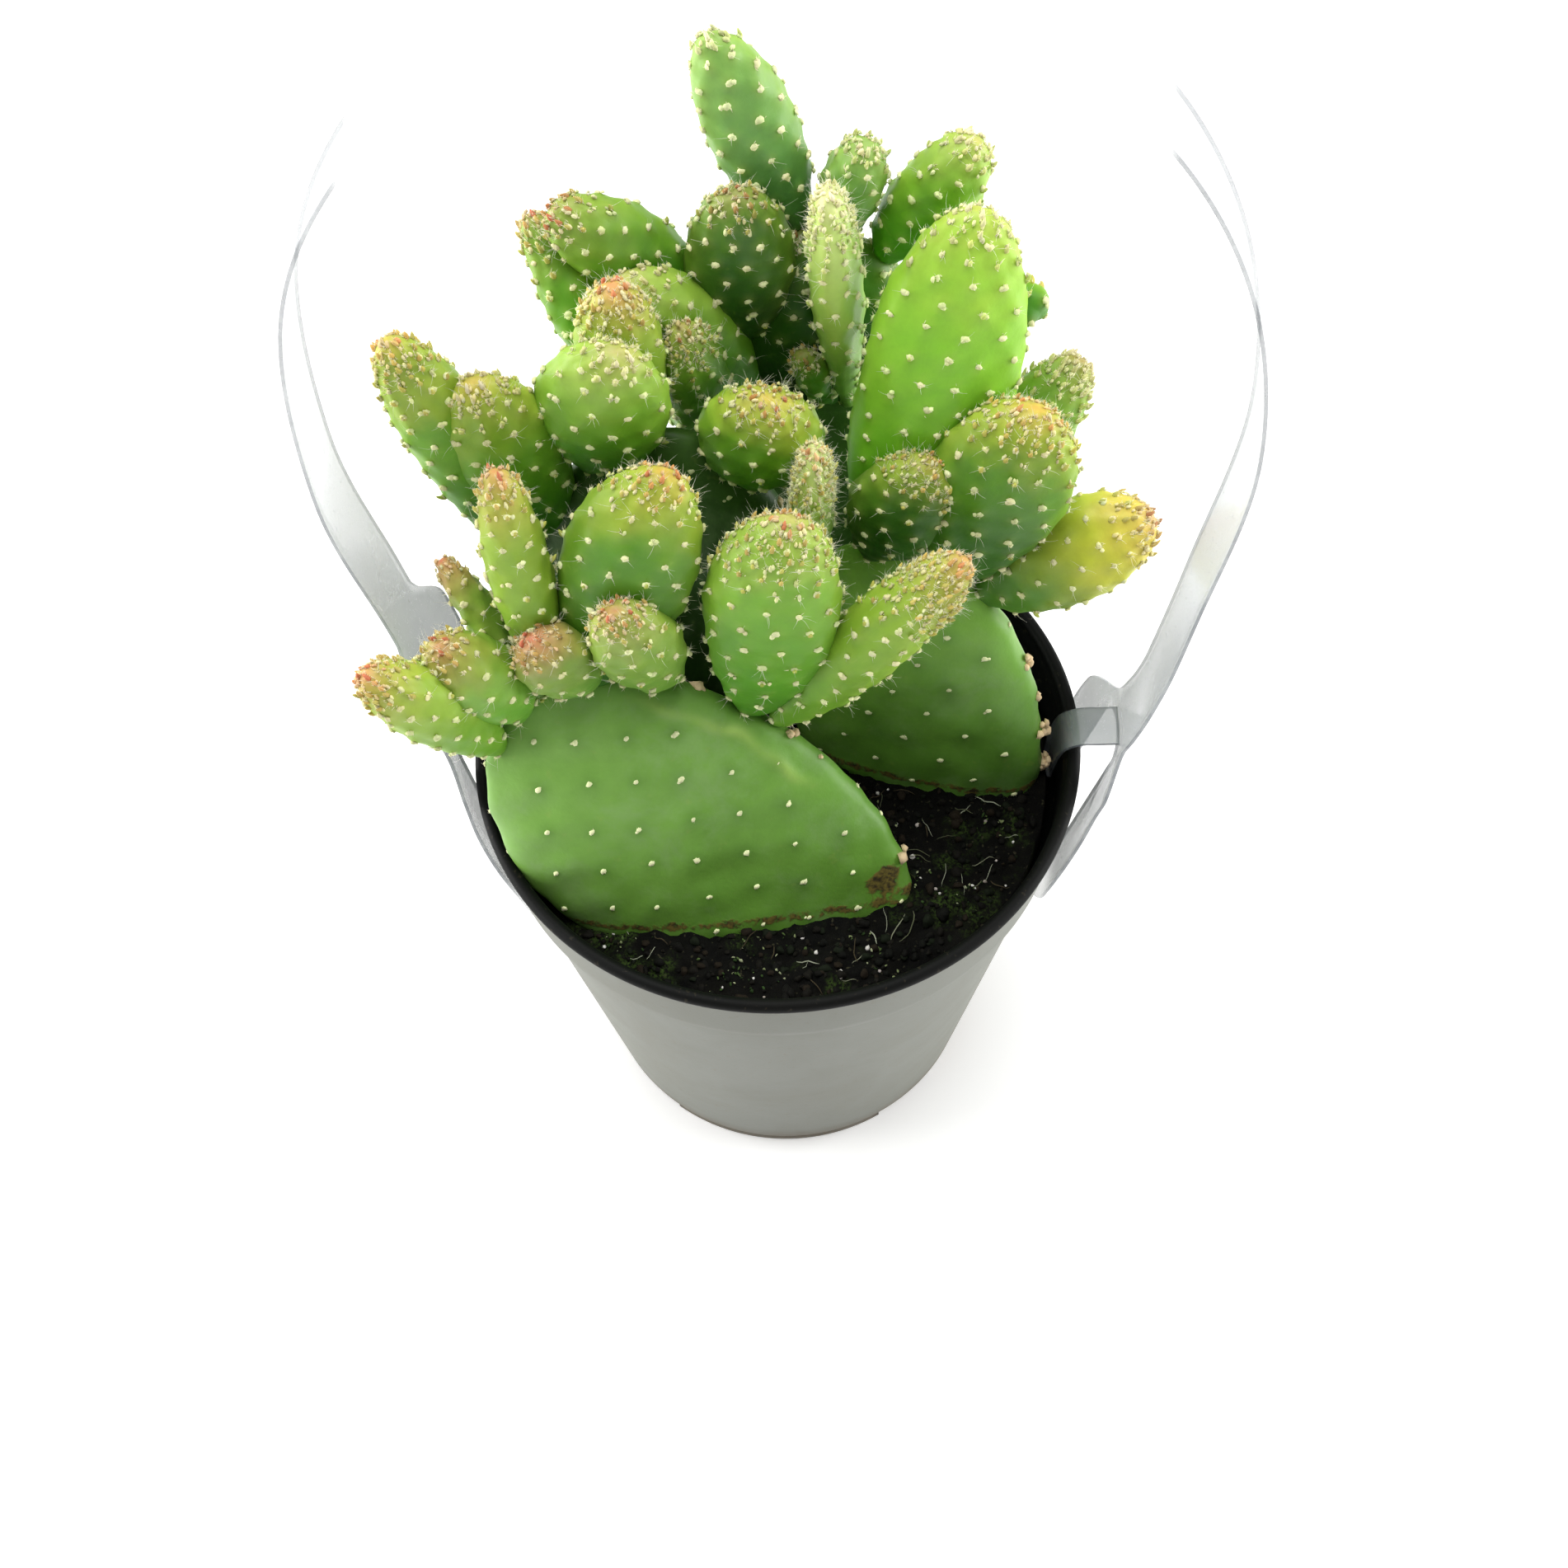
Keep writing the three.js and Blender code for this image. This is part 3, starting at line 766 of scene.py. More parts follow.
class StageSettings(bpy.types.PropertyGroup):
    floor: colour_setting("Floor", "Colour of the floor", (248, 248, 247))
    sky: share_setting("Sky", "Strength of the light from all round", 0.28, 4.0)
    lamp: share_setting("Lamps", "Strength of the soft lamps, as a multiple of their own", 1.0, 4.0)


# ---------------------------------------------------------------- pot

BAND_HEIGHT = 15  # the collar under the rim
COLLAR_RADIUS = 50.2
BODY_RADIUS = 48.9
NECK_RADIUS = 51.0
BASE_RADIUS = 36.9
WALL = 1.1
FOOT = 2.6
LIP_WIDTH = 2.4
LIP_DEPTH = 2.6


def inner_radius(height, pot_height):
    """Inside radius of the pot at a height."""
    body_top = pot_height - BAND_HEIGHT
    if height < body_top:
        share = (height - FOOT) / (body_top - FOOT)
        return BASE_RADIUS - WALL + (BODY_RADIUS - BASE_RADIUS) * share
    return COLLAR_RADIUS - WALL + (NECK_RADIUS - COLLAR_RADIUS) * (height - body_top) / BAND_HEIGHT


def pot_profile(rim, height):
    """The pot's section as (radius, height), from the middle of its underside over the lip and in. Also
    says which of its rings belong to the dark lip and inside."""
    body_top = height - BAND_HEIGHT
    under = height - LIP_DEPTH
    profile = [(0, FOOT), (BASE_RADIUS - 2.2, FOOT), (BASE_RADIUS - 0.9, FOOT + 0.1)]
    profile += [(BASE_RADIUS - 0.25, FOOT + 0.5), (BASE_RADIUS, FOOT + 1.2)]
    for share in np.linspace(0.04, 0.97, 24):
        radius = BASE_RADIUS + (BODY_RADIUS - BASE_RADIUS) * share
        profile.append((radius, FOOT + 1.2 + (body_top - FOOT - 2.4) * share))
    profile += [(BODY_RADIUS, body_top - 0.6), (BODY_RADIUS + 0.25, body_top - 0.25)]
    profile += [(COLLAR_RADIUS - 0.25, body_top), (COLLAR_RADIUS, body_top + 0.4)]
    for share in np.linspace(0.1, 0.94, 6):
        radius = COLLAR_RADIUS + (NECK_RADIUS - COLLAR_RADIUS) * share
        profile.append((radius, body_top + 0.4 + (under - body_top - 0.8) * share))
    profile += [(NECK_RADIUS, under - 0.3), (NECK_RADIUS + 0.25, under - 0.05)]
    dark_from = len(profile)
    # the rolled lip: a rounded bead, open underneath
    middle = rim - LIP_WIDTH / 2
    for angle in np.linspace(-80, 260, 22):
        turn = math.radians(angle)
        rise = math.sin(turn) * LIP_DEPTH / 2
        profile.append((middle + math.cos(turn) * LIP_WIDTH / 2, under + LIP_DEPTH / 2 + rise))
        if angle > 190:
            break
    for z in np.linspace(under, body_top + 0.6, 8):
        profile.append((inner_radius(z, height), z))
    for z in np.linspace(body_top - 1.2, FOOT + WALL + 1.4, 20):
        profile.append((inner_radius(z, height), z))
    profile += [(BASE_RADIUS - WALL - 0.5, FOOT + WALL + 0.3), (BASE_RADIUS - WALL - 1.4, FOOT + WALL)]
    profile.append((0, FOOT + WALL))
    return profile, dark_from


def apply_modifiers(piece):
    """Replaces a piece's mesh with its result and removes the modifiers."""
    bpy.context.view_layer.update()
    shaped = piece.evaluated_get(bpy.context.evaluated_depsgraph_get())
    mesh = bpy.data.meshes.new_from_object(shaped)
    old = piece.data
    piece.modifiers.clear()
    piece.data = mesh
    bpy.data.meshes.remove(old)


FOOT_COUNT = 4
FOOT_SPAN = 68
FOOT_TURN = -95
FOOT_WIDTH = 2.7
FOOT_ROUNDING = 0.4
FOOT_STEPS = 28
CENTRE_FOOT = [(0, 0), (7.4, 0), (7.9, 0.15), (8, 0.5), (8, FOOT + 0.5), (0, FOOT + 0.5)]  # (radius, height)
DRAIN_COUNT = 8
DRAIN_RADIUS = 3
DRAIN_CIRCLE = 22
DRAIN_DEPTH = (-3, 7)
DRAIN_SEGMENTS = 32
POT_SEGMENTS = 240
CENTRE_SEGMENTS = 64


def arc_block(middle, span, outer, inner, low, high):
    """A block bent round +Z with slightly rounded lower edges."""
    soft = FOOT_ROUNDING
    section = [(outer, high), (outer, low + soft), (outer - soft, low), (inner + soft, low)]
    section += [(inner, low + soft), (inner, high)]
    angles = np.radians(np.linspace(middle - span / 2, middle + span / 2, FOOT_STEPS))
    points = [(r * math.cos(a), r * math.sin(a), z) for a in angles for r, z in section]
    size = len(section)
    faces = ring_faces(FOOT_STEPS, size)
    faces.append(tuple(range(size)))
    faces.append(tuple(reversed(range((FOOT_STEPS - 1) * size, FOOT_STEPS * size))))
    return np.array(points), faces


def pot_finish(settings, dark):
    shader = Shader("pot_inside" if dark else "pot_outside")
    grime = shader.noise(22, 6, 0.62, 0.4)
    specks = shader.ramp(shader.noise(1.3, 2), 0.63, 0.72)
    fine = shader.noise(0.5, 4)
    height = shader.coordinate("Z")
    if dark:
        base = shader.mix(shader.ramp(grime, 0.45, 0.75), tuple(settings.inside), srgb(11, 11, 9))
        colour = shader.mix(specks * settings.dirt, base, srgb(60, 54, 42))
        rough = 0.45 + grime * 0.3
        normal = shader.bump(fine, 0.25, 0.1)
        return shader.finish(Base_Color=colour, Roughness=rough, Normal=normal, Specular_IOR_Level=0.12)
    streak = shader.ramp(grime, 0.42, 0.75) * settings.dirt
    low = shader.ramp(height, 0.009, 0.0015)
    base = shader.mix(streak, tuple(settings.outside), srgb(112, 110, 98))
    base = shader.mix(low * (0.35 + grime), base, srgb(84, 72, 50))
    splash = specks * settings.dirt * 0.6
    colour = shader.mix(splash, base, srgb(104, 92, 72))
    rough = 0.42 + grime * 0.22
    normal = shader.bump(fine + shader.noise(5, 2) * 0.8, 0.2, 0.12)
    return shader.finish(Base_Color=colour, Roughness=rough, Normal=normal, Specular_IOR_Level=0.45)


class CACTUS_OT_pot(bpy.types.Operator):
    """Makes the round nursery pot with its rolled lip, collar, feet and drain holes"""

    bl_idname = "cactus.pot"
    bl_label = "Pot"

    def execute(self, context):
        settings = context.scene.cactus_pot
        rim, height = settings.rim_radius / MM, settings.height / MM
        profile, dark_from = pot_profile(rim, height)
        points, faces = lathe(profile, POT_SEGMENTS)
        rings = len(profile) - 2
        # how uneven a thin moulded pot is: never quite round
        turn = np.arctan2(points[:, 1], points[:, 0])
        up = points[:, 2] / height
        points[:, :2] *= (1 + 0.0022 * np.sin(2 * turn + 0.7) * up + 0.0012 * np.sin(5 * turn) * up)[:, None]
        indices = []
        for _ in range(POT_SEGMENTS):
            indices.append(0)
            indices.extend(1 if ring + 2 >= dark_from else 0 for ring in range(rings - 1))
            indices.append(1)
        materials = [pot_finish(settings, False), pot_finish(settings, True)]
        pot = make_piece("pot_shell", points, faces, materials, ["pot"], indices=indices)
        low, high = DRAIN_DEPTH
        drain = [(0, low), (DRAIN_RADIUS, low), (DRAIN_RADIUS, high), (0, high)]
        hole, hole_faces = lathe(drain, DRAIN_SEGMENTS)
        for k in range(DRAIN_COUNT):
            angle = 2 * math.pi * k / DRAIN_COUNT
            x, y = DRAIN_CIRCLE * math.cos(angle), DRAIN_CIRCLE * math.sin(angle)
            cutter = add_mesh("drain_cutter", (hole + (x, y, 0)) * MM, hole_faces)
            cut = pot.modifiers.new("drain", "BOOLEAN")
            cut.operation = "DIFFERENCE"
            cut.solver = "EXACT"
            cut.object = cutter
            apply_modifiers(pot)
            bpy.data.objects.remove(cutter)
        feet = Parts()
        outer = BASE_RADIUS - 0.8
        for k in range(FOOT_COUNT):
            middle = FOOT_TURN + 360 / FOOT_COUNT * k
            block = arc_block(middle, FOOT_SPAN, outer, outer - FOOT_WIDTH, 0, FOOT + 0.5)
            feet.add(*block, UNTINTED)
        feet.add(*lathe(CENTRE_FOOT, CENTRE_SEGMENTS), UNTINTED)
        feet.make("pot_feet", materials[0])
        return {"FINISHED"}


# ---------------------------------------------------------------- soil

SOIL_SHOULDER = 76  # height at which the soil's side turns upright
SOIL_SEGMENTS = 220
MOSS_PATCHES = 80
SEEDS = {"crumbs": 5, "perlite": 6, "fibres": 7, "moss": 8, "clods": 71, "grit": 72}
CRUMB_SHADES = [(10, 9, 6), (16, 14, 9), (9, 10, 6), (28, 22, 14), (16, 22, 10)]
PERLITE_SHADES = [(206, 202, 196), (186, 176, 170), (222, 220, 214), (150, 140, 132)]
FIBRE_SHADES = [(128, 130, 108), (92, 96, 72), (150, 154, 134), (62, 54, 38)]
MOSS_SHADES = [(46, 66, 30), (72, 90, 48), (34, 52, 22), (118, 128, 88), (150, 156, 122)]
FIBRE_TAPER = np.array([0.4, 0.9, 1, 1, 1, 1, 0.9, 0.7, 0.3])


def soil_rng(name):
    return np.random.default_rng(SEEDS[name])


def soil_lumps(x, y):
    """Height of the soil over its mean, broad lumps and clods."""
    broad = 1.3 * (np.sin(x / 6.5 + 1) * np.cos(y / 7.5) + 0.5 * np.sin((x + y) / 4.2 + 2))
    points = np.stack([x, y, np.zeros_like(x)], -1)
    clods = ripple(points, soil_rng("clods"), 5.0, 12)
    grit = ripple(points, soil_rng("grit"), 1.9, 14)
    return 0.8 * broad + 0.5 * clods + 0.3 * grit


def soil_height(x, y):
    return SOIL_TOP + float(soil_lumps(np.array([x]), np.array([y]))[0])


def pick(rng, shades):
    """One of some screen colours, as a linear colour."""
    return srgb(*shades[rng.integers(len(shades))])


def soil_finish(settings):
    shader = Shader("damp_soil")
    clump = shader.noise(4.5, 6, 0.65, 0.5)
    fine = shader.noise(0.6, 5, 0.7)
    base = shader.mix(shader.ramp(clump, 0.35, 0.7), srgb(3, 3, 2), tuple(settings.colour))
    green = shader.ramp(shader.noise(11, 3), 0.52, 0.68) * shader.ramp(fine, 0.42, 0.6)
    mossy = shader.mix(green * 0.7, base, tuple(settings.moss))
    fleck = shader.ramp(shader.noise(0.9, 1), 0.68, 0.74)
    colour = shader.mix(fleck * 0.6, mossy, srgb(62, 60, 44))
    rough = 0.72 + fine * 0.25
    normal = shader.bump(clump + fine * 0.6, 0.8, 0.7)
    return shader.finish(Base_Color=colour, Roughness=rough, Normal=normal, Specular_IOR_Level=0.12)


def grain_finish(name, size, depth, rough_low):
    """A finish for small grains that take their colour from the mesh."""
    shader = Shader(name)
    tint = shader.attribute("tint", "Color")
    spots = shader.noise(size, 4, 0.6)
    colour = shader.scaled(tint, 0.78 + spots * 0.45)
    rough = rough_low + spots * 0.2
    normal = shader.bump(spots, 0.5, depth)
    return shader.finish(Base_Color=colour, Roughness=rough, Normal=normal, Specular_IOR_Level=0.15)


class CACTUS_OT_soil(bpy.types.Operator):
    """Makes the damp soil with its crumbs, white grains, root fibres and moss"""

    bl_idname = "cactus.soil"
    bl_label = "Soil"

    def execute(self, context):
        settings = context.scene.cactus_soil
        self.radius = BODY_RADIUS - WALL - 0.4
        self.ground(settings)
        self.crumbs(settings)
        self.perlite(settings)
        self.fibres(settings)
        self.moss()
        return {"FINISHED"}

    def ground(self, settings):
        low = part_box("soil")[0].z / MM
        profile = [(0, low), (BASE_RADIUS - WALL - 1.6, low), (self.radius, SOIL_SHOULDER)]
        profile.append((self.radius, SOIL_TOP - 0.6))
        profile += [(self.radius * share, SOIL_TOP) for share in np.linspace(0.995, 0.012, 84)]
        profile.append((0, SOIL_TOP))
        points, faces = lathe(profile, SOIL_SEGMENTS)
        top = points[:, 2] > SOIL_TOP - 0.1
        x, y = points[top, 0], points[top, 1]
        points[top, 2] += soil_lumps(x, y)
        make_piece("soil_ground", points, faces, [soil_finish(settings)], ["soil"])

    def spots(self, count, rng, edge=1.0):
        """Random places on the soil that no pad covers."""
        found = []
        while len(found) < count:
            radius = math.sqrt(rng.uniform()) * (self.radius - 1.5) * edge
            angle = rng.uniform(0, 2 * math.pi)
            x, y = radius * math.cos(angle), radius * math.sin(angle)
            z = soil_height(x, y)
            place = np.array([[x, y, z + 0.3]])
            if all(pad.level(place)[0] > 0.02 for pad in PADS.values() if pad.mature):
                found.append(np.array([x, y, z]))
        return found

    def crumbs(self, settings):
        rng = soil_rng("crumbs")
        shape, faces = grain(2)
        crumbs = Parts()
        for place in self.spots(settings.crumbs, rng):
            size = 0.3 + 1.2 * rng.beta(1.2, 5)
            rough = lumpy(shape, rng, 0.22, 1.5) * (size * rng.uniform(0.7, 1.3, 3))
            crumbs.add(place + (0, 0, size * 0.25) + rough, faces, pick(rng, CRUMB_SHADES))
        crumbs.make("soil_crumbs", grain_finish("soil_crumb", 0.8, 0.3, 0.75))

    def perlite(self, settings):
        rng = soil_rng("perlite")
        shape, faces = grain(1)
        grains = Parts()
        for place in self.spots(settings.perlite, rng):
            size = 0.2 + 0.7 * rng.beta(1.1, 5)
            rough = lumpy(shape, rng, 0.25, 1.2) * size
            grains.add(place + (0, 0, size * 0.5) + rough, faces, pick(rng, PERLITE_SHADES))
        grains.make("perlite_grains", grain_finish("perlite", 0.5, 0.15, 0.7))

    def fibres(self, settings):
        rng = soil_rng("fibres")
        fibres = Parts()
        for place in self.spots(settings.fibres, rng, 0.97):
            count = len(FIBRE_TAPER)
            step = (1.5 + 6 * rng.beta(1.2, 3)) / (count - 1)
            heading = rng.uniform(0, 2 * math.pi)
            bend = rng.normal() * 0.35 / (count - 1)
            path = []
            x, y = place[:2]
            for _ in range(count):
                path.append((x, y))
                x += math.cos(heading) * step
                y += math.sin(heading) * step
                heading += bend + rng.normal() * 0.12
            path = np.array(path)
            if np.linalg.norm(path, axis=1).max() > self.radius - 0.5:
                continue
            arch = 0.5 * np.abs(np.sin(np.linspace(0, 3, count) + rng.uniform(0, 3)))
            high = SOIL_TOP + soil_lumps(path[:, 0], path[:, 1]) + 0.45 + arch
            radii = rng.uniform(0.04, 0.12) * FIBRE_TAPER
            points, faces = tube(np.column_stack([path, high]), radii, 5)
            fibres.add(points, faces, pick(rng, FIBRE_SHADES))
        fibres.make("root_fibres", grain_finish("root_fibre", 1.5, 0.05, 0.65))

    def moss(self):
        rng = soil_rng("moss")
        shape, faces = grain(1)
        moss = Parts()
        for middle in self.spots(MOSS_PATCHES, rng, 0.95):
            for _ in range(rng.integers(6, 18)):
                x, y = middle[:2] + rng.normal(size=2) * 2.2
                if math.hypot(x, y) > self.radius - 1:
                    continue
                z = soil_height(x, y)
                size = rng.uniform(0.15, 0.5)
                flat = lumpy(shape, rng, 0.3, 1.0)
                flat = flat * (size * np.array([1, rng.uniform(0.4, 0.8), rng.uniform(0.3, 0.6)]))
                turn = turn_matrix(rng.normal(size=3))
                moss.add(flat @ turn.T + (x, y, z + 0.35), faces, pick(rng, MOSS_SHADES))
        moss.make("moss_tufts", grain_finish("moss", 0.6, 0.2, 0.7))


# ---------------------------------------------------------------- pads

FINE_GRID = (180, 132)  # points round a mature pad and rows along it
YOUNG_GRID = (84, 62)
HIDDEN = ("left_main_pad", "rear_main_pad")  # the mature pads behind the others, which need fewer points
HIDDEN_GRID = (96, 66)
MATURE_MOUND = 0.28
MATURE_MOUND_RADIUS = 1.9
YOUNG_MOUND_RADIUS = 1.05


def pad_finish(name, settings, mature):
    """The skin of the pads. Its green comes from the mesh; this adds the unevenness of a living skin,
    painted shade round a mature pad's areoles and a painted highlight round a young pad's.
    """
    shader = Shader(name)
    tint = shader.attribute("tint", "Color")
    broad = shader.noise(14 if mature else 9, 4, 0.6)
    fine = shader.noise(0.9, 4, 0.6)
    streaky = shader.noise(3.2, 3, 0.6, 0.6)
    strength = settings.mottling
    light = (1 - strength * 0.5) + broad * strength + (streaky - 0.5) * (strength * 0.5)
    skin = shader.scaled(tint, light + (fine - 0.5) * 0.14)
    areole = shader.attribute("areole")
    cork = shader.attribute("cork")
    if mature:
        waxy = shader.ramp(shader.noise(12, 6, 0.68, 0.3), 0.45, 0.7) * settings.bloom
        skin = shader.mix(waxy, skin, srgb(150, 176, 128))
        skin = shader.mix(shader.ramp(shader.noise(2.4, 2), 0.64, 0.75) * 0.16, skin, srgb(150, 168, 84))
        # painted shade: the skin round each areole is darkened, as under its mound and felt
        skin = shader.mix(areole * 0.35, skin, srgb(66, 108, 34))
    else:
        skin = shader.mix(shader.ramp(streaky, 0.62, 0.8) * 0.14, skin, srgb(176, 196, 96))
        # painted highlight: the skin round each areole is lightened, as on the top of its mound
        skin = shader.mix(areole * 0.22, skin, srgb(188, 198, 104))
    dry = shader.mix(shader.ramp(fine, 0.35, 0.65), srgb(46, 38, 14), tuple(settings.scar))
    patchy = shader.ramp(cork + (streaky - 0.5) * 0.9 + (fine - 0.5) * 0.5, 0.42, 0.62)
    colour = shader.mix(patchy, skin, dry)
    rough = 0.4 + fine * 0.14 + patchy * 0.3
    normal = shader.bump(fine * 0.5 + streaky * 0.5 + patchy * 0.5, 0.35, 0.25)
    return shader.finish(
        Base_Color=colour,
        Roughness=rough,
        Normal=normal,
        Specular_IOR_Level=0.4,
        Subsurface_Weight=0.08 if mature else 0.14,
        Subsurface_Radius=(0.5, 1.0, 0.25),
        Subsurface_Scale=0.0016,
    )


def palette_colour(palette, share):
    """The colour at a share of the way up a pad."""
    stops = np.array([srgb(*colour) for colour in PALETTES[palette]])
    return np.stack([np.interp(share, PALETTE_STOPS, stops[:, k]) for k in range(3)], -1)


def pad_grid(around, up):
    """Faces of a closed grid with one point at each end."""
    last = around * (up - 1) + 1
    top = last - around
    pairs = [(k, (k + 1) % around) for k in range(around)]
    faces = [(0, 1 + n, 1 + k) for k, n in pairs]
    faces += ring_faces(up - 1, around, 1)
    faces += [(top + k, top + n, last) for k, n in pairs]
    return faces


def pad_places(pad, settings):
    """Where a pad's areoles sit on its plain surface, and which of them are on its rim."""
    if pad.mature:
        faces = mature_areoles(pad, settings.mature_spacing / MM)
        rim = rim_areoles(pad, settings.mature_spacing / MM * 0.75)
        places = np.concatenate([faces, rim])
        on_rim = np.arange(len(places)) >= len(faces)
    else:
        spacing = settings.young_spacing / MM * (0.72 + 0.021 * pad.width)
        places = young_areoles(pad, spacing)
        on_rim = np.zeros(len(places), bool)
    free = clear_of_others(pad, pad.to_world(places))
    return places[free], on_rim[free]


def mound_height(pad, settings):
    """Height of the low mound under each areole of a pad."""
    return MATURE_MOUND if pad.mature else settings.mound / MM


def make_pad(pad, settings, material):
    """The fine skin of one pad."""
    around, up = FINE_GRID if pad.mature else YOUNG_GRID
    if pad.name in HIDDEN:
        around, up = HIDDEN_GRID
    climbs = np.linspace(0, math.pi, up + 1)[1:-1]
    turns = np.arange(around) * 2 * math.pi / around
    turn, climb = np.meshgrid(turns, climbs)
    plain = pad.ring_point(turn.ravel(), climb.ravel())
    ends = pad.ring_point(np.zeros(2), np.array([1e-3, math.pi - 1e-3]))
    plain = np.concatenate([ends[:1], plain, ends[1:]])
    places, _ = pad_places(pad, settings)
    mound_radius = MATURE_MOUND_RADIUS if pad.mature else YOUNG_MOUND_RADIUS
    rise, near = tubercles(plain, places, mound_height(pad, settings), mound_radius)
    world = pad.to_world(pad.shaped(plain) + pad.normal(plain) * rise[:, None])
    share = pad.climb(plain)
    wander = 0.035 * ripple(plain, pad.rng("tint"), 12.0)
    wander = wander + 0.02 * ripple(plain, pad.rng("fine_tint"), 4.0)
    tint = palette_colour(pad.palette, np.clip(share + wander, 0, 1))
    if not pad.mature:
        edge = np.abs(pad.normal(plain)[:, 0]) ** 2 * smooth_step(0.25, 0.6, share)
        tint = tint + (np.array(settings.edge) - tint) * (0.3 * edge)[:, None]
    cork = np.zeros(len(world))
    if pad.mature:
        cork = 0.62 * np.exp(-(((world[:, 2] - SOIL_TOP - 1.6) / 1.5) ** 2))  # dry where it enters the soil
    if pad.name == "front_main_pad":
        cork, tint, world = front_pad_marks(pad, plain, world, cork, tint)
    if pad.name == "right_pad_4":
        tint, world = bruised_dent(pad, plain, world, tint, np.array(settings.dent))
    # areole carries the painted shade and painted highlight round the areoles
    attributes = {"tint": tint, "areole": near, "cork": cork}
    make_piece(pad.name + "_skin", world, pad_grid(around, up), [material], [pad.name], attributes)


def bruised_dent(pad, plain, world, tint, bruise):
    """A long shallow dent low on the front of a pad, darker than its skin."""
    dent = pad.face_point(np.array(0.5), np.array(-0.3), -1)
    away = (plain - dent) / (2.4, 6.0, 7.5)
    near = np.exp(-((away[:, 0] - 0.35 * away[:, 2]) ** 2 + away[:, 1] ** 2 + away[:, 2] ** 2))
    tint = tint + (bruise - tint) * (0.8 * near)[:, None]
    return tint, world - 0.8 * near[:, None] * (pad.normal(plain) @ pad.axes.T)


def front_pad_marks(pad, plain, world, cork, tint):
    """The front pad's own marks: a dry scar low on its right, and beside its right edge a low ridge tinted
    pale as a painted highlight.
    """
    scar = pad.face_point(np.array(0.72), np.array(-0.62), -1)
    away = np.linalg.norm((plain - scar) * (1, 1, 1.4), axis=1)
    cork = np.maximum(cork, np.exp(-((away / 4.2) ** 2)))
    along = plain[:, 2] / (pad.length / 2) - 1
    half = np.sqrt(np.clip(1 - along**2, 1e-6, 1)) * swell(along) * pad.width / 2
    inset = half - plain[:, 0]
    front = (plain[:, 1] < 0) & (plain[:, 0] > 0)
    fade = smooth_step(-0.2, 0.1, along) * (1 - smooth_step(0.45, 0.75, along))
    fade = fade * (0.7 + 0.3 * np.sin(plain[:, 2] / 2.1))
    winding = 3.6 + 0.5 * np.sin(plain[:, 2] / 3.1) + 0.3 * np.sin(plain[:, 2] / 1.3 + 1)
    ridge = np.exp(-(((inset - winding) / 1.0) ** 2)) * front * fade
    world = world + ridge[:, None] * 0.4 * (pad.normal(plain) @ pad.axes.T)
    # painted highlight: the ridge is tinted pale where the face turns to the edge
    pale = np.array(srgb(168, 200, 98))
    tint = tint + (pale - tint) * (0.7 * ridge)[:, None]
    return cork, tint, world


class CACTUS_OT_pads(bpy.types.Operator):
    """Makes the skin of every pad, mature and young"""

    bl_idname = "cactus.pads"
    bl_label = "Pads"

    def execute(self, context):
        settings = context.scene.cactus_pads
        mature = pad_finish("mature_skin", settings, True)
        young = pad_finish("young_skin", settings, False)
        for pad in PADS.values():
            make_pad(pad, settings, mature if pad.mature else young)
        return {"FINISHED"}


# ---------------------------------------------------------------- areoles

CUSHION_SIDES = 7
BRISTLE_SIDES = 3
HAIR_TAPER = np.array([1, 0.9, 0.8, 0.6, 0.25])
LEAF_TAPER = np.array([0.8, 1.0, 0.95, 0.68, 0.25])
CUSHION_RINGS = ((1.0, -0.3), (1.02, 0.25), (0.66, 0.66))


def cushion(rng):
    """A low felt cushion of radius 1, on the plane Z = 0."""
    points = []
    for radius, height in CUSHION_RINGS:
        for k in range(CUSHION_SIDES):
            angle = 2 * math.pi * k / CUSHION_SIDES
            uneven = radius * (1 + 0.16 * rng.normal())
            rise = height * rng.uniform(0.8, 1.2)
            points.append((uneven * math.cos(angle), uneven * math.sin(angle), rise))
    points.append((rng.normal() * 0.12, rng.normal() * 0.12, rng.uniform(0.75, 1.05)))
    return np.array(points)


def cushion_faces():
    faces = ring_faces(len(CUSHION_RINGS), CUSHION_SIDES)
    top = len(CUSHION_RINGS) * CUSHION_SIDES
    a = top - CUSHION_SIDES
    faces.extend((a + k, a + (k + 1) % CUSHION_SIDES, top) for k in range(CUSHION_SIDES))
    faces.append(tuple(range(CUSHION_SIDES - 1, -1, -1)))
    return faces


CUSHION_FACES = cushion_faces()


def scatter(rng, basis, spread, middle=(0, 0, 0)):
    """A random offset or direction about a middle one. Both are given in an areole's own axes: across,
    up the pad and out."""
    return basis @ (rng.normal(size=3) * spread + middle)


def needle(rng, start, direction, length, radius):
    """A straight pointed bristle."""
    sides = BRISTLE_SIDES
    direction = direction / np.linalg.norm(direction)
    helper = rng.normal(size=3)
    side = np.cross(direction, helper)
    side /= np.linalg.norm(side)
    up = np.cross(direction, side)
    angles = np.arange(sides) * 2 * math.pi / sides
    ring = start + radius * (np.cos(angles)[:, None] * side + np.sin(angles)[:, None] * up)
    points = np.concatenate([ring, [start + direction * length]])
    faces = [(k, (k + 1) % sides, sides) for k in range(sides)]
    faces.append(tuple(range(sides - 1, -1, -1)))
    return points, faces


def hair(rng, start, direction, length, radius):
    """A fine curved hair."""
    direction = direction / np.linalg.norm(direction)
    bend = np.cross(direction, rng.normal(size=3)) * rng.uniform(0.3, 0.9)
    steps = np.linspace(0, 1, len(HAIR_TAPER))[:, None]
    path = start + length * (steps * direction + steps**2 * bend * 0.5)
    return tube(path, radius * HAIR_TAPER, BRISTLE_SIDES)


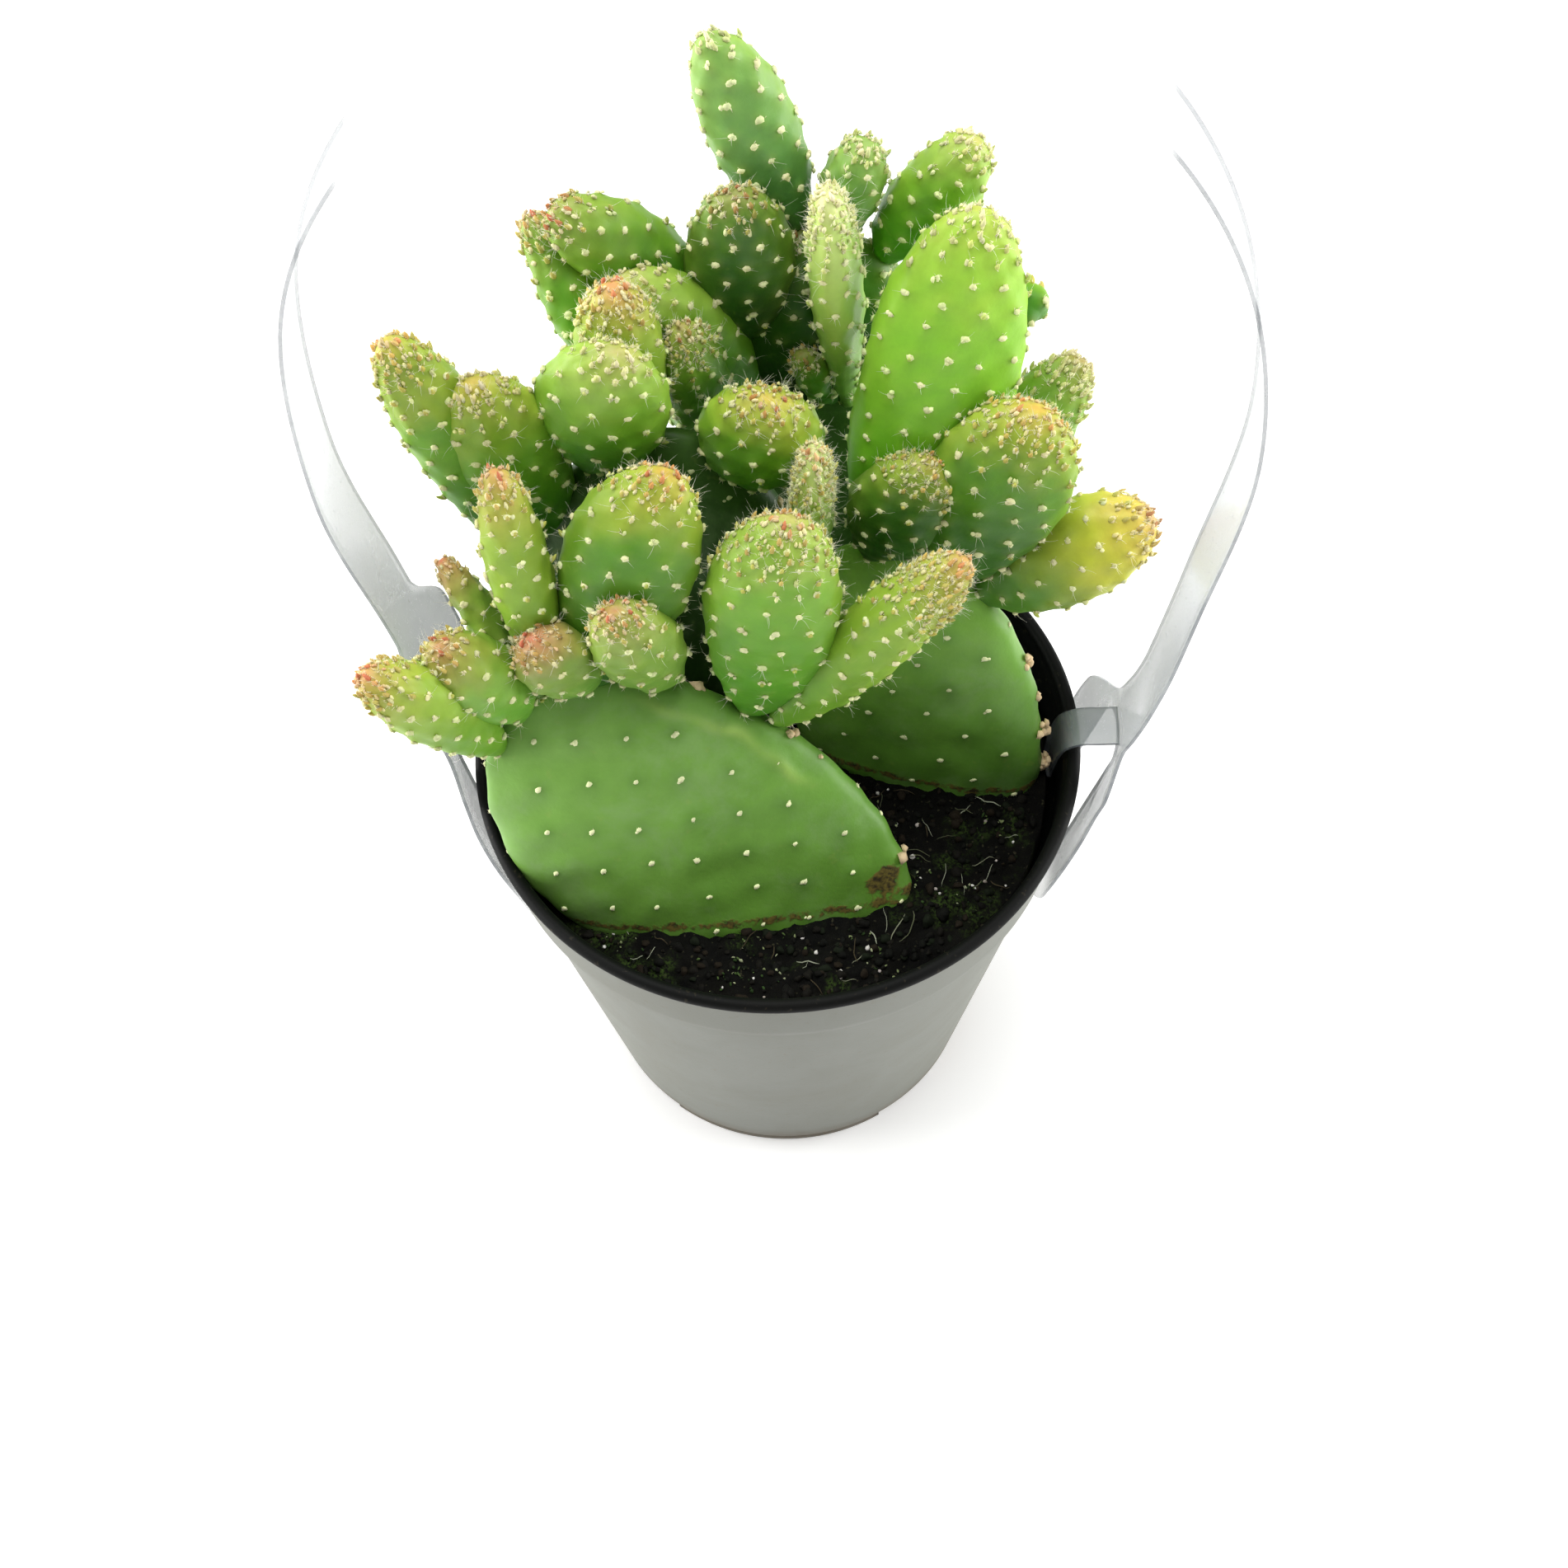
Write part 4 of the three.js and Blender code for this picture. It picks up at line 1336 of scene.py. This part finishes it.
def leaf_point(rng, start, out, up, length, radius):
    """One of the small fleshy leaves under a young areole, curving up to its point."""
    steps = np.linspace(0, 1, len(LEAF_TAPER))[:, None]
    lift = rng.uniform(0.5, 1.1)
    path = start + length * (steps * out + (steps**2) * up * lift)
    return tube(path, radius * LEAF_TAPER, 5)


# These two pads have corky lumps only on the part of their edge to the right of this X.
LUMPY_SIDE = {"front_main_pad": -18, "right_main_pad": 12}


class CACTUS_OT_areoles(bpy.types.Operator):
    """Makes the felt cushions, bristles, hairs and leaf points on every pad"""

    bl_idname = "cactus.areoles"
    bl_label = "Areoles"

    def execute(self, context):
        settings = context.scene.cactus_areoles
        pads = context.scene.cactus_pads
        material = grain_finish("areole_felt", 0.35, 0.1, 0.75)
        for pad in PADS.values():
            self.dress(pad, settings, pads, material)
        return {"FINISHED"}

    def dress(self, pad, settings, pads, material):
        places, on_rim = pad_places(pad, pads)
        if not len(places):
            return
        out = pad.normal(places)
        roots = pad.to_world(pad.shaped(places) + out * mound_height(pad, pads))
        out = out @ pad.axes.T
        up = pad.axes[:, 2]
        climbs = pad.climb(places)
        rng = pad.rng("felt")
        parts = Parts()
        for root, normal, climb, rim in zip(roots, out, climbs, on_rim):
            rise = up - normal * (up @ normal)
            size = np.linalg.norm(rise)
            rise = rise / size if size > 0.05 else pad.axes[:, 0]
            basis = np.stack([np.cross(rise, normal), rise, normal], 1)
            if pad.mature:
                lumpy = rim and root[0] > LUMPY_SIDE.get(pad.name, -math.inf)
                self.mature(parts, rng, settings, root, basis, lumpy)
            else:
                self.young(parts, rng, settings, pad, root, basis, climb)
        parts.make(pad.name + "_areoles", material)

    def felt(self, parts, rng, root, basis, size, colour):
        """One cushion, with size as its width, height along the pad and thickness."""
        shade = np.array(colour) * rng.uniform(0.82, 1.1)
        parts.add(root + (cushion(rng) * size) @ basis.T, CUSHION_FACES, np.clip(shade, 0, 1))

    def mature(self, parts, rng, settings, root, basis, rim):
        """The small areole of a mature pad, or a corky lump on its rim."""
        radius = settings.cushion / MM
        if rim and rng.uniform() < 0.6:
            grown = radius * rng.uniform(1.2, 2.8)
            for _ in range(rng.integers(4, 8)):
                offset = scatter(rng, basis, (0.55, 0.6, 0.35)) * grown
                size = grown * rng.uniform(0.35, 0.75) * np.array([1, 1, 1.25])
                self.felt(parts, rng, root + offset, basis, size, settings.old_felt)
        else:
            size = radius * rng.uniform(0.7, 0.98) * np.array([1.05, 0.78, 0.6])
            self.felt(parts, rng, root, basis, size, settings.felt)
            if rng.uniform() < 0.5:
                offset = scatter(rng, basis, (0.4, 0.25, 0.05))
                self.felt(parts, rng, root + offset, basis, size * 0.6, settings.felt)
        for _ in range(rng.integers(1, 4)):
            heading = scatter(rng, basis, 0.5, (0, 0.35, 0.9))
            start = root + scatter(rng, basis, (0.2, 0.2, 0.05))
            shape = needle(rng, start, heading, rng.uniform(0.35, 0.7), 0.05)
            parts.add(*shape, settings.bristle)

    def young(self, parts, rng, settings, pad, root, basis, climb):
        """The areole of a young pad, crowded and tufted near the pad's tip."""
        crowd = float(pad.crowding(climb))
        blush = float(smooth_step(0.85, 0.98, climb))
        leaf = np.array(srgb(*LEAF_COLOURS[pad.leaf]))
        fresh = np.array(settings.felt)
        old = np.array(settings.old_felt)
        felt = fresh + (old - fresh) * rng.uniform(0, 0.35 + 0.2 * crowd)
        felt = felt + (leaf - felt) * blush * rng.uniform(0, 0.85)
        lush = palette_colour(pad.palette, min(1.0, climb + 0.1)) * 1.25
        felt = felt + (lush - felt) * rng.uniform(0.0, 0.3 + 0.2 * crowd)
        wide = settings.cushion / MM * rng.uniform(0.8, 1.12) * (1 - 0.1 * crowd)
        if rng.uniform() < crowd:
            for _ in range(rng.integers(1, 4)):
                offset = scatter(rng, basis, (0.4, 0.4, 0.1))
                size = wide * rng.uniform(0.5, 0.8) * np.array([0.7, 1.15, 1.0])
                self.felt(parts, rng, root + offset, basis, size, felt * rng.uniform(0.85, 1.12))
        else:
            self.felt(parts, rng, root, basis, wide * np.array([1.0, 0.8, 0.7]), felt)
            if rng.uniform() < 0.6:
                offset = scatter(rng, basis, (0.4, 0.3, 0.05))
                self.felt(parts, rng, root + offset, basis, wide * 0.6 * np.array([1, 1, 1.1]), felt * 1.06)
        for _ in range(int(round(2 + (4 + 6 * crowd) * pad.fluff * rng.uniform(0.4, 1)))):
            heading = scatter(rng, basis, (0.6, 0.4, 0.3), (0, 0.7, 0.8))
            start = root + scatter(rng, basis, (0.3, 0.3, 0.03))
            golden = np.array(settings.bristle) + (leaf - settings.bristle) * blush * rng.uniform(0, 0.6)
            shape = needle(rng, start, heading, rng.uniform(0.55, 1.25), rng.uniform(0.05, 0.09))
            parts.add(*shape, golden)
        for _ in range(rng.poisson(0.5 + 1.8 * pad.fluff)):
            heading = scatter(rng, basis, (0.7, 0.5, 0.2), (0, 0.3, 1.0))
            parts.add(*hair(rng, root, heading, rng.uniform(1.0, 2.6), 0.022), settings.hair)
        if rng.uniform() < 0.12 + 0.55 * crowd:
            start = root - basis[:, 1] * 0.4 - basis[:, 2] * 0.35
            green = np.array(srgb(*LEAF_COLOURS["green"]))
            tone = green + (leaf - green) * np.clip(0.12 + 0.4 * crowd * rng.uniform() + blush, 0, 1)
            tone = tone + (lush - tone) * rng.uniform(0.0, 0.4)
            shape = leaf_point(rng, start, basis[:, 2], basis[:, 1], rng.uniform(0.8, 1.3), 0.42)
            parts.add(*shape, tone * rng.uniform(0.85, 1.15))


# ---------------------------------------------------------------- carrying strap

STRAP_TURN = -4.2  # degrees round the pot
STRAP_MIDDLE = -4  # how far its middle line is from the pot's middle, along Y
STRAP_WIDTH = 13
STRAP_END_WIDTH = 27
FLARE = 13  # height over which an end widens
SLOT = {"width": 11.5, "above_foot": 8, "corner": 5}
FOOT_SHARE = 0.62  # how wide the very foot is, as a share of the end's width
FOOT_RISE = 7  # height over which it reaches its full width
FOLLOWS_POT = (108, 130)  # below the first height the strap follows the round pot, above the second not
FINE_ENDS = 80  # length of the part at each end that has close points
FINE_STEP = 0.9
COARSE_STEP = 2.4
END_POINTS = 200  # how many points of the strap's line each opening may lie beside
TONGUE_WIDTH = 7.5
RIM_TOP = (52.2, 97.6)  # where the tongue crosses the rim, as (radius, height)
RIM_INSIDE = (49.7, 94.6)
TONGUE_HEIGHTS = (91, 84, 78)  # down the pot's inside
TONGUE_GAP = 0.3  # how far the tongue is from the pot's inside
EDGE_ROUNDING = 0.14
SHARP_EDGE = 50  # degrees
# Inside this radius the strap is made nearly clear: painted shade of the pot's inside on the tongue.
TUCKED = (0.0515**2, 0.049**2)  # square of the radius in metres, from where it starts to be inside the pot
SCUFFED = (0.2, 0.12)  # heights in metres between which the scuffs fade in
# The left and right end: how far each is moved along Y, the heights between which that move fades out,
# and the heights of its foot, of its slot's top and below which it is at full width.
STRAP_ENDS = {
    -1: {"shift": 2, "fades": (125, 165), "foot": 48, "slot_top": 106, "wide_below": 117},
    1: {"shift": 8, "fades": (80, 118), "foot": 49, "slot_top": 98, "wide_below": 90},
}
STRAP_LINE = [
    (-46.4, 48), (-49.6, 60), (-52.2, 70), (-54, 81), (-54.8, 93), (-55.4, 107), (-59.5, 134),
    (-64, 168), (-60.5, 205), (-47, 230), (-24, 251), (1, 258), (25, 252), (46, 237), (61, 213), (68, 180),
    (64.5, 142), (60.6, 112), (58.6, 100), (56.8, 88), (54.8, 76), (51.5, 62), (47.5, 49),
]  # the strap's line seen from the front, as (x, z)


def smooth_line(points, steps=24):
    """A smooth curve through points, close together enough to bend a sheet along."""
    points = np.asarray(points, float)
    ends = [2 * points[0] - points[1], 2 * points[-1] - points[-2]]
    padded = np.concatenate([ends[:1], points, ends[1:]])
    line = []
    for i in range(len(points) - 1):
        p0, p1, p2, p3 = padded[i : i + 4]
        t0 = 0.0
        t1 = t0 + np.linalg.norm(p1 - p0) ** 0.5
        t2 = t1 + np.linalg.norm(p2 - p1) ** 0.5
        t3 = t2 + np.linalg.norm(p3 - p2) ** 0.5
        for t in np.linspace(t1, t2, steps, endpoint=False):
            a1 = (t1 - t) / (t1 - t0) * p0 + (t - t0) / (t1 - t0) * p1
            a2 = (t2 - t) / (t2 - t1) * p1 + (t - t1) / (t2 - t1) * p2
            a3 = (t3 - t) / (t3 - t2) * p2 + (t - t2) / (t3 - t2) * p3
            b1 = (t2 - t) / (t2 - t0) * a1 + (t - t0) / (t2 - t0) * a2
            b2 = (t3 - t) / (t3 - t1) * a2 + (t - t1) / (t3 - t1) * a3
            line.append((t2 - t) / (t2 - t1) * b1 + (t - t1) / (t2 - t1) * b2)
    line.append(points[-1])
    return np.array(line)


def strap_half_width(side, z):
    end = STRAP_ENDS[side]
    flare = 1 - smooth_step(end["wide_below"], end["wide_below"] + FLARE, z)
    foot = smooth_step(end["foot"], end["foot"] + FOOT_RISE, z)
    width = STRAP_WIDTH + (STRAP_END_WIDTH - STRAP_WIDTH) * flare
    return width / 2 * (FOOT_SHARE + (1 - FOOT_SHARE) * np.sqrt(np.clip(foot, 0, 1)))


def strap_middle(x, z):
    """The middle of the strap along Y: each end is pulled to its own place."""
    middle = np.full(len(z), float(STRAP_MIDDLE))
    for side, end in STRAP_ENDS.items():
        middle += (x * side > 0) * end["shift"] * (1 - smooth_step(*end["fades"], z))
    return middle


def strap_out(out, y, z):
    """How far out a point of the strap is: low down it follows the round pot."""
    return out + (1 - smooth_step(*FOLLOWS_POT, z)) * (np.sqrt(np.maximum(0, out**2 - y**2)) - out)


def rounded_slot(end):
    """The outline of the opening in an end of the strap, as (across, height), with round corners."""
    corner = SLOT["corner"]
    right = SLOT["width"] / 2 - corner
    top, bottom = end["slot_top"] - corner, end["foot"] + SLOT["above_foot"] + corner
    outline = []
    for x, z, start in ((right, top, 0), (-right, top, 90), (-right, bottom, 180), (right, bottom, 270)):
        for angle in np.radians(np.linspace(start, start + 90, 8)):
            outline.append((x + corner * math.cos(angle), z + corner * math.sin(angle)))
    return outline


def flat_sheet(outline, holes, spacing):
    """Triangles that fill an outline apart from its holes, as flat points and faces."""
    loops = [np.asarray(outline)] + [np.asarray(hole) for hole in holes]
    points = []
    edges = []
    for loop in loops:
        start = len(points)
        points.extend(map(tuple, loop))
        edges.extend((start + k, start + (k + 1) % len(loop)) for k in range(len(loop)))
    low, high = loops[0].min(0), loops[0].max(0)
    border = np.array(points)
    for x in np.arange(low[0] + spacing / 2, high[0], spacing):
        for y in np.arange(low[1] + spacing / 2, high[1], spacing):
            if np.min(((border - (x, y)) ** 2).sum(1)) > (spacing * 0.45) ** 2:
                points.append((x, y))
    verts, _, faces, _, _, _ = delaunay_2d_cdt([Vector(p) for p in points], edges, [], 0, 1e-5)
    flat = np.array([tuple(v) for v in verts])

    def inside(loop, x, y):
        a, b = loop, np.roll(loop, -1, 0)
        crosses = (a[:, 1] > y) != (b[:, 1] > y)
        where = a[:, 0] + (y - a[:, 1]) * (b[:, 0] - a[:, 0]) / (b[:, 1] - a[:, 1] + 1e-12)
        return np.count_nonzero(crosses & (x < where)) % 2 == 1

    kept = []
    for face in faces:
        x, y = flat[list(face)].mean(0)
        if inside(loops[0], x, y) and not any(inside(hole, x, y) for hole in loops[1:]):
            kept.append(tuple(face))
    return flat, kept


class CACTUS_OT_strap(bpy.types.Operator):
    """Makes the clear carrying strap with its slotted ends and the tongues that hook over the rim"""

    bl_idname = "cactus.strap"
    bl_label = "Carrying strap"

    def execute(self, context):
        settings = context.scene.cactus_strap
        self.thickness = settings.thickness / MM
        line = smooth_line(STRAP_LINE)
        lengths = lengths_along(line)
        outline, holes = self.outline(line, lengths)
        flat, faces = flat_sheet(outline, holes, COARSE_STEP)
        sheets = Parts()
        sheets.add(self.bend(flat, line, lengths), faces, UNTINTED)
        for side in STRAP_ENDS:
            sheets.add(*self.tongue(side, line), UNTINTED)
        body, edge = strap_finishes(settings)
        strap = sheets.make("carry_strap_sheet", body)
        strap.data.materials.append(edge)
        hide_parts("carry_strap")
        solid = strap.modifiers.new("thickness", "SOLIDIFY")
        solid.thickness = settings.thickness
        solid.offset = 0
        solid.use_even_offset = True
        solid.material_offset_rim = 1
        soften = strap.modifiers.new("soft_edge", "BEVEL")
        soften.width = EDGE_ROUNDING * MM
        soften.segments = 2
        soften.limit_method = "ANGLE"
        soften.angle_limit = math.radians(SHARP_EDGE)
        apply_modifiers(strap)
        return {"FINISHED"}

    def outline(self, line, lengths):
        """The strap laid flat: (along its line, across), and the opening in each end."""
        total = lengths[-1]
        first_end = np.arange(0, FINE_ENDS, FINE_STEP)
        middle = np.arange(FINE_ENDS, total - FINE_ENDS, COARSE_STEP)
        last_end = np.arange(total - FINE_ENDS, total, FINE_STEP)
        along = np.unique(np.concatenate([first_end, middle, last_end, [total]]))
        heights = np.interp(along, lengths, line[:, 1])
        on_left = np.interp(along, lengths, line[:, 0]) < 0
        half = np.where(on_left, strap_half_width(-1, heights), strap_half_width(1, heights))
        one = list(zip(along, half))
        other = list(zip(along[::-1], -half[::-1]))
        holes = []
        for side, end in STRAP_ENDS.items():
            part = slice(0, END_POINTS) if side < 0 else slice(len(line) - END_POINTS, len(line))
            high, far = line[part, 1], lengths[part]
            order = np.argsort(high)
            holes.append([(np.interp(z, high[order], far[order]), y) for y, z in rounded_slot(end)])
        return one + other, holes

    def bend(self, flat, line, lengths):
        x = np.interp(flat[:, 0], lengths, line[:, 0])
        z = np.interp(flat[:, 0], lengths, line[:, 1])
        y = strap_middle(x, z) + flat[:, 1]
        return self.turned(np.column_stack([np.sign(x) * strap_out(np.abs(x), y, z), y, z]))

    def turned(self, points):
        """Points turned to the way that the strap stands on the pot."""
        angle = math.radians(STRAP_TURN)
        cosine, sine = math.cos(angle), math.sin(angle)
        spin = np.array([[cosine, -sine, 0], [sine, cosine, 0], [0, 0, 1]])
        return points @ spin.T

    def tongue(self, side, line):
        """The tongue: from the top of its opening, over the rim and down the inside of the pot."""
        root = STRAP_ENDS[side]["slot_top"] + 0.8
        part = line[line[:, 0] * side > 0]
        start = abs(part[np.argmin(np.abs(part[:, 1] - root)), 0])
        inside = inner_radius(80, POT_HIGH) - TONGUE_GAP - self.thickness
        halfway = ((start + RIM_TOP[0]) / 2, (root + RIM_TOP[1]) / 2)
        down = zip((inside + 0.6, inside, inside - 0.3), TONGUE_HEIGHTS)
        curve = smooth_line([(start, root), halfway, RIM_TOP, RIM_INSIDE, *down], 12)
        lengths = lengths_along(curve)
        total = lengths[-1]
        half = TONGUE_WIDTH / 2
        along = np.arange(0, total - half * 0.8, FINE_STEP)
        width = half * (1 - 0.16 * smooth_step(total * 0.5, total, along))
        end = width[-1]
        turn = np.linspace(0, math.pi / 2, 8)
        tip = [(along[-1] + math.sin(a) * half * 0.75, end * math.cos(a) ** 0.8) for a in turn[1:-1]]
        one = list(zip(along, width)) + tip + [(along[-1] + half * 0.75, 0.0)]
        other = [(a, -w) for a, w in reversed(one[:-1])]
        flat, faces = flat_sheet(one + other, [], 1.6)
        radius = np.interp(flat[:, 0], lengths, curve[:, 0])
        z = np.interp(flat[:, 0], lengths, curve[:, 1])
        y = strap_middle(side * radius, z) + flat[:, 1]
        return self.turned(np.column_stack([side * strap_out(radius, y, z), y, z])), faces


def strap_finishes(settings):
    finishes = []
    for name, colour, opacity in (
        ("strap_clear", settings.tint, settings.opacity),
        ("strap_edge", settings.edge, min(1, settings.opacity * 2)),
    ):
        shader = Shader(name)
        haze = shader.noise(9, 4, 0.6)
        east, north, height = (shader.coordinate(axis) for axis in "XYZ")
        tuck_shade = shader.ramp(east * east + north * north, *TUCKED)
        scratch = shader.ramp(shader.noise(0.7, 3, 0.6, 1.5), 0.62, 0.72)
        base = shader.mix(shader.ramp(haze, 0.35, 0.7), tuple(colour), srgb(168, 172, 175))
        rough = 0.14 + haze * 0.12 + scratch * 0.25
        worn = shader.ramp(height, *SCUFFED)  # the ends are scuffed, so they hide more
        alpha = opacity + worn * 0.24 + (haze - 0.5) * 0.08 + scratch * 0.08
        alpha = alpha * (1 - tuck_shade * 0.6)  # inside the pot it is made nearly clear, so the dark pot shows through: painted shade
        normal = shader.bump(haze + scratch * 0.1, 0.12, 0.3)
        surface = {"Base_Color": base, "Roughness": rough, "Normal": normal, "Alpha": alpha}
        finishes.append(shader.finish(Specular_IOR_Level=0.6, **surface))
    return finishes


# ---------------------------------------------------------------- stage

CAMERA_PLACE = (0.0008745, -0.2046865, 0.4054745)
CAMERA_TILT = 31.953  # degrees up from straight down
CAMERA_ROLL = -2.145
CAMERA_LENS = 49.42
LAMPS = {
    # name: (place, size, strength in watts)
    "top_lamp": ((-0.1, 0.1, 1.3), 1.0, 15.0),
    "left_lamp": ((-1.1, 0.12, 0.34), 0.9, 16.5),
    "right_lamp": ((1.1, 0.08, 0.34), 0.9, 14.5),
}
AIM = Vector((0, 0, 0.13))  # where the lamps point
FLOOR_HALF = 3.0


class CACTUS_OT_stage(bpy.types.Operator):
    """Makes the pale floor, the soft lamps, the sky and the camera"""

    bl_idname = "cactus.stage"
    bl_label = "Stage"

    def execute(self, context):
        settings = context.scene.cactus_stage
        scene = context.scene
        self.floor(settings)
        for name, (place, size, power) in LAMPS.items():
            lamp = bpy.data.lights.new(name, "AREA")
            lamp.shape = "DISK"
            lamp.size = size
            lamp.energy = power * settings.lamp
            holder = add_object(name, lamp)
            holder.location = place
            holder.rotation_euler = (AIM - Vector(place)).to_track_quat("-Z", "Y").to_euler()
        world = bpy.data.worlds.new("pale_sky")
        world.use_nodes = True
        sky = world.node_tree.nodes["Background"]
        sky.inputs["Color"].default_value = (1, 1, 1, 1)
        sky.inputs["Strength"].default_value = settings.sky
        scene.world = world
        scene.view_settings.view_transform = "Standard"
        self.camera(scene)
        return {"FINISHED"}

    def floor(self, settings):
        half = FLOOR_HALF
        points = [(-half, -half, 0), (half, -half, 0), (half, half, 0), (-half, half, 0)]
        floor = add_mesh("floor", points, [(0, 1, 2, 3)])
        shader = Shader("pale_floor")
        cloud = shader.noise(60, 3)
        colour = shader.scaled(tuple(settings.floor), 0.99 + cloud * 0.01)
        glow = {"Emission_Color": colour, "Emission_Strength": 0.3}
        finish = shader.finish(Base_Color=colour, Roughness=0.9, Specular_IOR_Level=0.1, **glow)
        floor.data.materials.append(finish)

    def camera(self, scene):
        camera = bpy.data.cameras.new("camera")
        camera.lens = CAMERA_LENS
        camera.clip_start = 0.01
        holder = add_object("camera", camera)
        tilt = Matrix.Rotation(math.radians(CAMERA_TILT), 4, "X")
        roll = Matrix.Rotation(math.radians(CAMERA_ROLL), 4, "Z")
        holder.matrix_world = Matrix.Translation(CAMERA_PLACE) @ tilt @ roll
        scene.camera = holder


# ---------------------------------------------------------------- panel and registration

STEPS = (
    (CACTUS_OT_pot, "cactus_pot", PotSettings),
    (CACTUS_OT_soil, "cactus_soil", SoilSettings),
    (CACTUS_OT_pads, "cactus_pads", PadSettings),
    (CACTUS_OT_areoles, "cactus_areoles", AreoleSettings),
    (CACTUS_OT_strap, "cactus_strap", StrapSettings),
    (CACTUS_OT_stage, "cactus_stage", StageSettings),
)


class CACTUS_PT_panel(bpy.types.Panel):
    """Lists the pieces of the plant with their settings"""

    bl_idname = "CACTUS_PT_panel"
    bl_label = "Potted cactus"
    bl_space_type = "VIEW_3D"
    bl_region_type = "UI"
    bl_category = "Cactus"

    def draw(self, context):
        for operator, holder, group in STEPS:
            box = self.layout.box()
            box.operator(operator.bl_idname)
            for key in group.__annotations__:
                box.prop(getattr(context.scene, holder), key)


def register():
    for operator, holder, group in STEPS:
        bpy.utils.register_class(group)
        bpy.utils.register_class(operator)
        setattr(bpy.types.Scene, holder, PointerProperty(type=group))
    bpy.utils.register_class(CACTUS_PT_panel)


def unregister():
    bpy.utils.unregister_class(CACTUS_PT_panel)
    for operator, holder, group in reversed(STEPS):
        delattr(bpy.types.Scene, holder)
        bpy.utils.unregister_class(operator)
        bpy.utils.unregister_class(group)


def main():
    register()
    bpy.ops.cactus.stage()
    bpy.ops.cactus.pot()
    bpy.ops.cactus.soil()
    bpy.ops.cactus.pads()
    bpy.ops.cactus.areoles()
    bpy.ops.cactus.strap()


if __name__ == "__main__":
    main()
